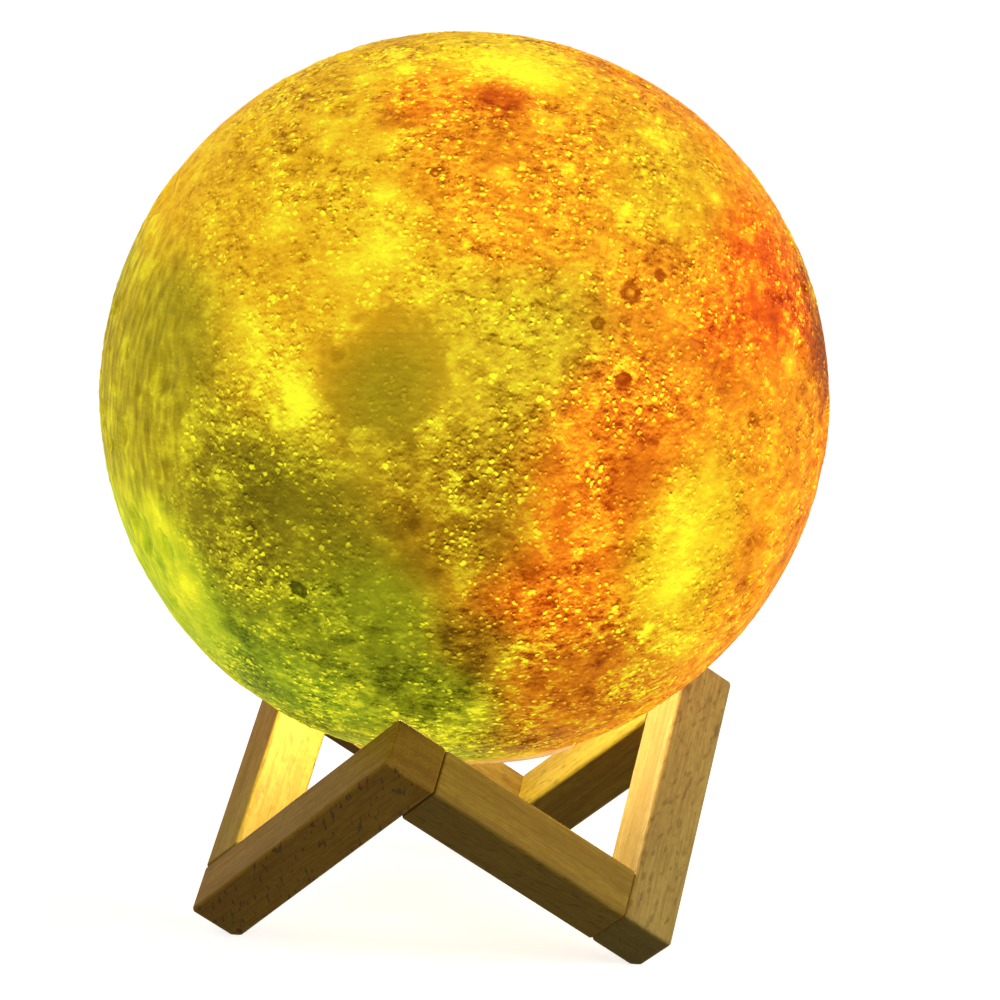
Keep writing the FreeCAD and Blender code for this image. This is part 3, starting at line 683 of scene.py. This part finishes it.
def wash_colours(surface):
    """The colour at each point: soft areas run into each other."""
    total = np.zeros((len(surface.directions), 3))
    weights = np.zeros((len(surface.directions), 1))
    large, small = WASH_WAVER
    waver = 1 + large * surface.mottled + small * surface.ragged
    for direction, reach, colour in wash_areas():
        distance = surface.distance(direction) * waver
        weight = (1 + (distance / (WASH_SPREAD * reach)) ** 2)[:, None] ** -WASH_FALL
        total += weight * np.array(colour)
        weights += weight
    return total / weights


def calm_near_stand(surface):
    """Takes the relief away where the stand's peaks and the collar touch the ball."""
    start, end = CALM_EDGE
    spots = [(Vector((0, 0, -1)), COLLAR_CALM)]
    spots += [(pointing(azimuth, -PEAK_FALL), PEAK_CALM) for azimuth in PEAK_AZIMUTHS]
    for spot, reach in spots:
        surface.height *= soft_step(surface.distance(spot), start * reach, end * reach)


# ---------------------------------------------------------------- the ball's mesh
def each_once(items):
    """The items in their own order, so that every run makes the same mesh."""
    return list(dict.fromkeys(items))


def open_ball(ball, radius, subdivisions, edge_parts):
    """Adds an evenly divided ball, cut level where it meets the hole. Returns its open edges."""
    verts = bmesh.ops.create_icosphere(ball, subdivisions=subdivisions, radius=radius)["verts"]
    if edge_parts > 1:
        edges = each_once(edge for vert in verts for edge in vert.link_edges)
        bmesh.ops.subdivide_edges(ball, edges=edges, cuts=edge_parts - 1, use_grid_fill=True)
        verts = each_once(vert for face in ball.faces for vert in face.verts)
    for vert in verts:
        vert.co = vert.co.normalized() * radius
    faces = each_once(face for vert in verts for face in vert.link_faces)
    edges = each_once(edge for vert in verts for edge in vert.link_edges)
    level = -math.sqrt(radius ** 2 - HOLE_RADIUS ** 2)
    cut = bmesh.ops.bisect_plane(ball, geom=verts + edges + faces, dist=CUT_TOLERANCE,
                                 plane_co=(0, 0, level), plane_no=(0, 0, -1), clear_outer=True)
    rim = [item for item in cut["geom_cut"] if isinstance(item, bmesh.types.BMEdge)]
    for vert in each_once(vert for edge in rim for vert in edge.verts):
        flat = math.hypot(vert.co.x, vert.co.y)
        vert.co.x *= HOLE_RADIUS / flat
        vert.co.y *= HOLE_RADIUS / flat
    return rim


def ball_mesh():
    """The shell's two surfaces, joined round the hole, about the ball's centre."""
    ball = bmesh.new()
    outer_rim = open_ball(ball, BALL_RADIUS - SKIN_DEPTH, OUTER_SPLITS, EDGE_PARTS)
    inner_rim = open_ball(ball, BALL_RADIUS - SHELL_WALL, INNER_SPLITS, 1)
    bmesh.ops.bridge_loops(ball, edges=outer_rim + inner_rim)
    bmesh.ops.recalc_face_normals(ball, faces=ball.faces)
    mesh = bpy.data.meshes.new("moon_surface")
    ball.to_mesh(mesh)
    ball.free()
    return mesh


def shape_ball(mesh):
    """Raises and lowers the outer surface and stores its tone, grit and colour."""
    count = len(mesh.vertices)
    points = np.zeros(count * 3)
    mesh.vertices.foreach_get("co", points)
    points = points.reshape(-1, 3)
    reach = np.linalg.norm(points, axis=1)
    surface = Surface(points / reach[:, None])
    add_features(surface)
    calm_near_stand(surface)
    outer = reach > BALL_RADIUS - 2 * SKIN_DEPTH
    height = np.clip(surface.height * MM, SKIN_DEPTH - DEEPEST, SKIN_DEPTH)
    raised = surface.directions * (BALL_RADIUS - SKIN_DEPTH + height)[:, None]
    raised[:, 2] = np.maximum(raised[:, 2], FLAT_HEIGHT)
    points = np.where((outer & (points[:, 2] > FLAT_HEIGHT - SKIN_DEPTH))[:, None], raised, points)
    points[:, 2] = np.where(outer, np.maximum(points[:, 2], FLAT_HEIGHT), points[:, 2])
    mesh.vertices.foreach_set("co", (points + np.array(BALL_CENTRE)).ravel())
    colours = np.ones((count, 4))
    colours[:, :3] = wash_colours(surface)
    mesh.attributes.new("wash", "FLOAT_COLOR", "POINT").data.foreach_set("color", colours.ravel())
    layers = {"tone": surface.tone, "grit": surface.grit, "streak": surface.streak}
    for name, values in layers.items():
        mesh.attributes.new(name, "FLOAT", "POINT").data.foreach_set("value", values)


# ---------------------------------------------------------------- the ball's material
def speck_layer(tree, where, scale, widest, share):
    """Round spots in a share of the cells of a loose pattern, 1 inside and 0 outside."""
    cells = add(tree, "TexVoronoi", Vector=where, Scale=scale)
    chance = add(tree, "SeparateColor", Color=cells.outputs["Color"])
    size = remap(tree, chance.outputs["Red"], 1 - share, 1.0, 0.0, widest)
    inside = maths(tree, "SUBTRACT", size, cells.outputs["Distance"])
    return remap(tree, inside, 0.0, 0.14)


def specks(tree, where):
    """Bright dots of two sizes, not quite round."""
    swirl = add(tree, "TexNoise", Vector=where, Scale=0.9, Detail=1.0).outputs["Color"]
    bent = add(tree, "VectorMath", [("operation", "MULTIPLY_ADD")])
    fill(tree, bent.inputs[0], swirl)
    fill(tree, bent.inputs[1], (1.1, 1.1, 1.1))
    fill(tree, bent.inputs[2], where)
    small = speck_layer(tree, bent.outputs["Vector"], scale=0.80, widest=0.46, share=0.85)
    large = speck_layer(tree, bent.outputs["Vector"], scale=0.36, widest=0.34, share=0.55)
    return maths(tree, "MAXIMUM", small, large)


def sharp_craters(tree, waver):
    """The dark floors of the sharpest craters, 0 to 1, and the bright peaks in their middles."""
    here = add(tree, "TexCoord").outputs["Object"]
    floors, peaks = 0.0, 0.0
    for right, up, radius, middle in DARK_CRATERS:
        gap = add(tree, "VectorMath", [("operation", "DISTANCE")])
        fill(tree, gap.inputs[0], here)
        fill(tree, gap.inputs[1], BALL_CENTRE + on_disc(right, up) * (BALL_RADIUS - SKIN_DEPTH))
        share = plus(tree, times(tree, gap.outputs["Value"], 1 / (radius * MM)), waver)
        floors = maths(tree, "MAXIMUM", floors, remap(tree, share, 0.72, 0.95, 1.0, 0.0))
        peaks = plus(tree, peaks, remap(tree, share, 0.10, 0.42, middle, 0.0))
    return floors, peaks


def swing(tree, value, share):
    """How far a texture is from its middle, times a share."""
    return times(tree, maths(tree, "SUBTRACT", value, 0.5), share)


def print_grain(tree, where):
    return clouds(tree, where, scale=0.50, detail=3.0, roughness=0.60)


def brightness(tree, grain, dust, dots, below):
    """How bright the ball is all over: 0 is darkest, 0.5 the plain colour and 1 palest, with painted
    light and shade on the relief of its grain and beside its dots.
    """
    grit = attribute(tree, "grit")
    streak = attribute(tree, "streak")
    # painted light and shade: the grain less a copy of it shifted down, so that its edges look lit
    # from one side
    lit_edge = maths(tree, "SUBTRACT", grain, print_grain(tree, below))
    grain_dust_and_painted_edges = plus(tree, swing(tree, grain, ROUGH_GRAIN), times(tree, lit_edge, ROUGH_LIT_EDGE),
                 swing(tree, dust, ROUGH_DUST))
    # painted shadow: a dark crescent beside each bright dot, as if the dot stood up and cast it
    dot_shade = times(tree, specks(tree, below), maths(tree, "SUBTRACT", 1.0, dots))
    texture_and_painted_relief = plus(tree, times(tree, grain_dust_and_painted_edges, LEVEL_ROUGH), times(tree, dots, LEVEL_DOTS),
                 times(tree, dot_shade, LEVEL_DOT_SHADE))
    calm = maths(tree, "SUBTRACT", 1.0, times(tree, streak, STREAK_CALM))
    streaks = clouds(tree, places(tree, STREAK_STRETCH), scale=0.50, detail=2.0)
    streaks = times(tree, maths(tree, "SUBTRACT", streaks, STREAK_MIDDLE), streak)
    print_lines = clouds(tree, places(tree, PRINT_LINE_STRETCH), scale=1.0, detail=2.0)
    level = plus(tree, LEVEL_PLAIN, times(tree, attribute(tree, "tone"), LEVEL_TONE),
                 times(tree, texture_and_painted_relief, times(tree, grit, calm)), times(tree, streaks, LEVEL_STREAKS),
                 swing(tree, print_lines, LEVEL_PRINT_LINES))
    floors, peaks = sharp_craters(tree, swing(tree, grain, 0.8))
    floor_level = plus(tree, FLOOR_LEVEL, times(tree, grain_dust_and_painted_edges, FLOOR_ROUGH))
    to_floor = times(tree, floors, maths(tree, "SUBTRACT", floor_level, level))
    return plus(tree, level, to_floor, peaks)


def glow_colour(tree, level):
    """From a deep shade of the wash at level 0, through the wash itself, to lemon white past 1."""
    wash = attribute(tree, "wash", "Color")
    deep = add(tree, "Gamma", Color=wash, Gamma=DEEP_GAMMA).outputs["Color"]
    deep = blend_colours(tree, 1.0, deep, DEEP_SHADE, "MULTIPLY")
    pale = blend_colours(tree, PALE_SHARE, wash, linear(*PALE_TINT))
    colour = blend_colours(tree, maths(tree, "MULTIPLY", level, 2.0, True), deep, wash)
    upper = maths(tree, "MULTIPLY", maths(tree, "SUBTRACT", level, 0.5), PALE_GAIN, True)
    colour = blend_colours(tree, upper, colour, pale)
    top = maths(tree, "SUBTRACT", level, WHITEST_FROM, True)
    top = maths(tree, "MULTIPLY", top, WHITEST_GAIN, True)
    return blend_colours(tree, top, colour, linear(*WHITEST))


def moon_material():
    material, tree, shader = new_material("moon_print")
    flat = places(tree, GRAIN_STRETCH)
    below = places(tree, GRAIN_STRETCH, (0, 0, -LIT_STEP))
    grain = print_grain(tree, flat)
    dust = clouds(tree, flat, scale=1.9, detail=2.0)
    dots = specks(tree, flat)
    colour = glow_colour(tree, brightness(tree, grain, dust, dots, below))
    fill(tree, shader.inputs["Emission Color"], colour)
    shader.inputs["Emission Strength"].default_value = 0.95
    base = blend_colours(tree, 1.0, colour, BASE_SHADE, "MULTIPLY")
    fill(tree, shader.inputs["Base Color"], base)
    shader.inputs["Roughness"].default_value = 0.7
    shader.inputs["Specular IOR Level"].default_value = 0.06
    height = plus(tree, grain, times(tree, dust, 0.3), times(tree, dots, 0.5))
    bump(tree, shader, height, distance=0.5 * MM, strength=0.8)
    return material


def make_moon():
    mesh = ball_mesh()
    shape_ball(mesh)
    mesh.shade_smooth()
    mesh.materials.append(moon_material())
    moon = bpy.data.objects.new("moon_surface", mesh)
    bpy.context.scene.collection.objects.link(moon)
    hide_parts("moon_shell")
    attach(moon, "moon")


# ---------------------------------------------------------------- wood
# each rail's grain and the way across its growth rings, as the azimuths of the cube's edges, then how
# far its flecks lean from the grain, in degrees, how strong they are, and the tint of its wood, which
# also holds painted light and shade: it lightens, darkens and yellows each rail as the light falls on
# it
RAILS = {
    "front_left_rail": (330, 90, 42, 0.75, (1.18, 1.02, 0.36)),
    "right_rail": (90, 330, 12, 0.36, (1.30, 1.46, 1.38)),
    "back_left_rail": (210, 330, 0, 0.3, (0.72, 0.70, 0.38)),
    "front_right_rail": (210, 90, 20, 0.4, (1.00, 1.02, 0.46)),
    "back_right_rail": (330, 210, 0, 0.3, (1.02, 1.10, 0.34)),
    "left_rail": (90, 330, 0, 0.25, (1.50, 1.56, 0.66)),
}
DOWEL_BEECH = (210, 90, 0, 0.4, (1.0, 1.0, 1.0))
CUBE_RISE = 1 / math.sqrt(3)
WOOD_SHIFT = (7.1, 3.3, 5.7)    # millimetres that move the noise for each further piece of wood
BEECH_PALE = linear(178, 146, 76)
BEECH_RING = linear(156, 122, 56)
BEECH_FIBRE = linear(126, 94, 38)
BEECH_MOTTLE = linear(136, 94, 52)
BEECH_BRIGHT = linear(184, 150, 84)
BEECH_FLECK = linear(74, 40, 18)
END_GRAIN_SHADE = (0.60, 0.60, 0.42, 1)


def cube_direction(azimuth):
    """Unit vector along an edge of the cube that stands on its corner."""
    flat = math.sqrt(1 - CUBE_RISE ** 2)
    turn = math.radians(azimuth)
    return Vector((flat * math.cos(turn), flat * math.sin(turn), CUBE_RISE))


def squareness(tree, direction):
    """1 where the surface faces along a direction, either way, and 0 where it is side on."""
    facing = add(tree, "VectorMath", [("operation", "DOT_PRODUCT")])
    fill(tree, facing.inputs[0], add(tree, "NewGeometry").outputs["Normal"])
    fill(tree, facing.inputs[1], direction)
    return maths(tree, "ABSOLUTE", facing.outputs["Value"])


def wood_places(tree, along, across):
    """The surface's own coordinates in millimetres: along the grain, across and along the rings."""
    axes = Matrix((along, across, along.cross(across))).transposed()
    here = add(tree, "TexCoord").outputs["Object"]
    turned = add(tree, "Mapping", [("vector_type", "TEXTURE")], Vector=here,
                 Rotation=axes.to_euler(), Scale=(MM, MM, MM))
    return turned.outputs["Vector"]


def wood_material(name, grain_azimuth, ring_azimuth, fleck_lean, fleck_share, tint, seed):
    """Beech with its grain one way: rings, fibres, and the small dark flecks of its rays, under a
    rail's tint that also paints light and shade on it.
    """
    material, tree, shader = new_material(name)
    along = cube_direction(grain_azimuth)
    across = cube_direction(ring_azimuth)
    turned = wood_places(tree, along, across)
    shift = tuple(step * seed for step in WOOD_SHIFT)

    def layer(scale, detail, roughness=0.5, lean=0.0):
        """Noise with that many swells in a millimetre each way, leaning from the grain by degrees."""
        leaning = add(tree, "Mapping", Vector=turned, Rotation=(0, math.radians(lean), 0))
        leaning = leaning.outputs["Vector"]
        stretched = add(tree, "Mapping", Vector=leaning, Scale=scale, Location=shift)
        return clouds(tree, stretched.outputs["Vector"], 1.0, detail, roughness)

    rings = layer((0.010, 0.40, 0.05), detail=3.0, roughness=0.6)
    fibres = layer((0.10, 2.4, 2.4), detail=3.0, roughness=0.65)
    patches = layer((0.03, 0.10, 0.10), detail=1.0)
    mottle = layer((0.5, 0.9, 0.9), detail=3.0, roughness=0.6)
    rays = layer((0.32, 0.25, 1.05), detail=1.0, roughness=0.4, lean=fleck_lean)
    on_ring_face = remap(tree, squareness(tree, across), 0.5, 0.9, 0.1, 1.0)
    on_end = remap(tree, squareness(tree, along), 0.6, 0.9)
    flecks = times(tree, remap(tree, rays, 0.58, 0.71), on_ring_face)
    fibre_share = times(tree, remap(tree, fibres, 0.38, 0.66), 0.55)
    mottle_share = times(tree, remap(tree, mottle, 0.4, 0.7), 0.40)
    colour = blend_colours(tree, remap(tree, rings, 0.35, 0.65), BEECH_PALE, BEECH_RING)
    colour = blend_colours(tree, fibre_share, colour, BEECH_FIBRE)
    colour = blend_colours(tree, mottle_share, colour, BEECH_MOTTLE)
    colour = blend_colours(tree, times(tree, patches, 0.25), colour, BEECH_BRIGHT)
    colour = blend_colours(tree, times(tree, flecks, fleck_share), colour, BEECH_FLECK)
    colour = blend_colours(tree, on_end, colour, END_GRAIN_SHADE, "MULTIPLY")
    # painted light and shade: the rail's tint lightens, darkens and yellows it as the lamps, the
    # ball's glow and the shade fall on it, on top of the beech's own colour
    colour = blend_colours(tree, 1.0, colour, (*tint, 1.0), "MULTIPLY")
    fill(tree, shader.inputs["Base Color"], colour)
    fill(tree, shader.inputs["Roughness"], remap(tree, fibres, 0.2, 0.8, 0.50, 0.68))
    shader.inputs["Specular IOR Level"].default_value = 0.15
    height = maths(tree, "SUBTRACT", times(tree, fibres, 0.5), times(tree, flecks, 0.5))
    bump(tree, shader, height, distance=0.08 * MM, strength=0.6)
    return material


def dress_stand():
    for seed, (name, facts) in enumerate(RAILS.items(), start=1):
        dress(name, wood_material(name, *facts, seed))
    dowel_wood = wood_material("dowel_beech", *DOWEL_BEECH, len(RAILS) + 1)
    for name in ("peak_dowels", "foot_dowels"):
        dress(name, dowel_wood)


# ---------------------------------------------------------------- plastics, metals and electronics
WIRE_COUNT = 5
WELL_DEPTH = 0.2                # millimetres from an LED's top down to below its rim


def dimmed(colour, share):
    """A colour written as screen values, as a share of its linear light."""
    return tuple(value * share for value in linear(*colour)[:3]) + (1.0,)


def mottled_base(tree, shader, mottle, colour, share):
    """The base colour, dimmed to a share in the mottle's low places."""
    shade = remap(tree, mottle, 0.3, 0.7)
    base = blend_colours(tree, shade, dimmed(colour, share), linear(*colour))
    fill(tree, shader.inputs["Base Color"], base)


def plastic(name, colour, roughness, grain=1.2, depth=0.02):
    """Moulded plastic: a faint mottle in its colour and a fine texture in its surface."""
    material, tree, shader = new_material(name)
    where = places(tree)
    mottled_base(tree, shader, clouds(tree, where, 0.25, 3.0), colour, 0.9)
    texture = clouds(tree, where, grain, 2.0)
    gloss = remap(tree, texture, 0.2, 0.8, roughness - 0.05, roughness + 0.08)
    fill(tree, shader.inputs["Roughness"], gloss)
    bump(tree, shader, texture, depth * MM)
    return material, tree, shader


def metal(name, colour, roughness, stretch):
    """Metal with fine marks: stretch makes them long one way."""
    material, tree, shader = new_material(name)
    marks = clouds(tree, places(tree, stretch), 1.0, 3.0)
    mottled_base(tree, shader, marks, colour, 0.82)
    gloss = remap(tree, marks, 0.2, 0.8, roughness - 0.06, roughness + 0.10)
    fill(tree, shader.inputs["Roughness"], gloss)
    shader.inputs["Metallic"].default_value = 1.0
    bump(tree, shader, marks, 0.01 * MM)
    return material


def circuit(name, mask, track, roughness):
    """A board's solder mask, with raised tracks along a square pattern."""
    material, tree, shader = new_material(name)
    where = places(tree)
    square = [("distance", "CHEBYCHEV"), ("feature", "F1")]
    cells = add(tree, "TexVoronoi", square, Vector=where, Scale=0.55)
    tracks = remap(tree, cells.outputs["Distance"], 0.40, 0.46)
    tint = clouds(tree, where, 0.3, 2.0)
    colour = blend_colours(tree, times(tree, tracks, 0.6), linear(*mask), linear(*track))
    colour = blend_colours(tree, times(tree, tint, 0.2), colour, (0, 0, 0, 1))
    fill(tree, shader.inputs["Base Color"], colour)
    shader.inputs["Roughness"].default_value = roughness
    bump(tree, shader, tracks, 0.03 * MM)
    return material


def foil():
    """The cell's pouch: crinkled foil."""
    material, tree, shader = new_material("cell_foil")
    where = places(tree)
    creases = add(tree, "TexVoronoi", [("feature", "DISTANCE_TO_EDGE")], Vector=where, Scale=0.28)
    waves = clouds(tree, where, 0.5, 3.0)
    height = plus(tree, remap(tree, creases.outputs["Distance"], 0.0, 0.12), waves)
    colour = blend_colours(tree, waves, linear(176, 180, 186), linear(222, 224, 228))
    fill(tree, shader.inputs["Base Color"], colour)
    shader.inputs["Metallic"].default_value = 0.9
    shader.inputs["Roughness"].default_value = 0.32
    bump(tree, shader, height, 0.12 * MM)
    return material


def foam():
    material, tree, shader = new_material("foam")
    pores = add(tree, "TexVoronoi", Vector=places(tree), Scale=2.2)
    shade = remap(tree, pores.outputs["Distance"], 0.1, 0.7)
    colour = blend_colours(tree, shade, linear(26, 26, 28), linear(72, 72, 76))
    fill(tree, shader.inputs["Base Color"], colour)
    shader.inputs["Roughness"].default_value = 0.95
    bump(tree, shader, shade, 0.2 * MM)
    return material


def ribbon():
    """Five grey wires, of which the one at the ribbon's edge is red."""
    material, tree, shader = new_material("wire_ribbon")
    low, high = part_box("led_wires")
    across = add(tree, "SeparateXYZ", Vector=places(tree)).outputs["X"]
    red_to = (low.x + (high.x - low.x) / WIRE_COUNT) / MM
    is_red = maths(tree, "LESS_THAN", across, red_to)
    tint = clouds(tree, places(tree), 0.8)
    grey = blend_colours(tree, tint, linear(140, 143, 148), linear(164, 166, 170))
    fill(tree, shader.inputs["Base Color"], blend_colours(tree, is_red, grey, linear(176, 32, 26)))
    shader.inputs["Roughness"].default_value = 0.45
    bump(tree, shader, clouds(tree, places(tree, (1, 1, 0.2)), 2.0), 0.02 * MM)
    return material


def led_package():
    """Pale ceramic with a yellow phosphor well in each LED."""
    material, tree, shader = plastic("led_package", (238, 232, 196), 0.35)
    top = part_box("led_chips")[1].z
    height = add(tree, "SeparateXYZ", Vector=places(tree)).outputs["Z"]
    in_well = maths(tree, "LESS_THAN", height, top / MM - WELL_DEPTH)
    glow = blend_colours(tree, in_well, linear(255, 244, 190), linear(255, 214, 90))
    fill(tree, shader.inputs["Emission Color"], glow)
    shader.inputs["Emission Strength"].default_value = 0.5
    return material


def frosted(name, colour, glow, strength):
    """Milky plastic that glows a little with the light behind it."""
    material, tree, shader = plastic(name, colour, 0.55, 1.8, 0.03)
    haze = clouds(tree, places(tree), 0.12, 2.0)
    light = blend_colours(tree, haze, dimmed(glow, 0.75), linear(*glow))
    fill(tree, shader.inputs["Emission Color"], light)
    shader.inputs["Emission Strength"].default_value = strength
    shader.inputs["Subsurface Weight"].default_value = 0.3
    return material


def clear_lens():
    material, tree, shader = new_material("indicator_clear")
    tint = clouds(tree, places(tree), 0.6)
    colour = blend_colours(tree, tint, linear(214, 240, 226), linear(240, 252, 246))
    fill(tree, shader.inputs["Base Color"], colour)
    fill(tree, shader.inputs["Roughness"], remap(tree, tint, 0.2, 0.8, 0.04, 0.14))
    shader.inputs["Transmission Weight"].default_value = 0.7
    return material


def dress_light_unit():
    finishes = {
        "shell_collar": frosted("white_plastic", (226, 216, 190), (240, 158, 40), 0.5),
        "base_plate": plastic("plate_plastic", (232, 232, 228), 0.38)[0],
        "touch_ring": metal("chrome_ring", (226, 227, 230), 0.14, (0.4, 0.4, 4)),
        "light_housing": plastic("housing_plastic", (214, 214, 210), 0.46)[0],
        "base_screws": metal("screw_steel", (190, 190, 194), 0.30, (3, 3, 0.6)),
        "control_board": circuit("circuit_green", (22, 86, 50), (52, 128, 78), 0.35),
        "board_parts": plastic("chip_black", (34, 34, 36), 0.5)[0],
        "battery_connector": plastic("connector_cream", (226, 214, 180), 0.45)[0],
        "charging_socket": metal("socket_steel", (200, 201, 204), 0.26, (0.5, 3, 3)),
        "socket_tongue": plastic("tongue_black", (26, 26, 28), 0.4)[0],
        "mode_button": plastic("button_plastic", (206, 206, 202), 0.34)[0],
        "indicator_lens": clear_lens(),
        "battery_cell": foil(),
        "battery_pad": foam(),
        "battery_leads": plastic("lead_red", (180, 34, 28), 0.42)[0],
        "led_board": circuit("circuit_white", (232, 234, 232), (206, 208, 206), 0.4),
        "led_chips": led_package(),
        "led_wires": ribbon(),
        "diffuser_dome": frosted("frosted_dome", (236, 234, 228), (255, 236, 190), 0.6),
    }
    finishes["board_screws"] = finishes["base_screws"]
    finishes["led_board_screws"] = finishes["base_screws"]
    finishes["indicator_led"] = finishes["led_chips"]
    finishes["button_switch"] = finishes["board_parts"]
    finishes["switch_plunger"] = finishes["socket_tongue"]
    finishes["remote_receiver"] = finishes["socket_tongue"]
    for node, material in finishes.items():
        dress(node, material)


make_camera()
make_floor()
make_world()
make_lights()
make_moon()
dress_stand()
dress_light_unit()
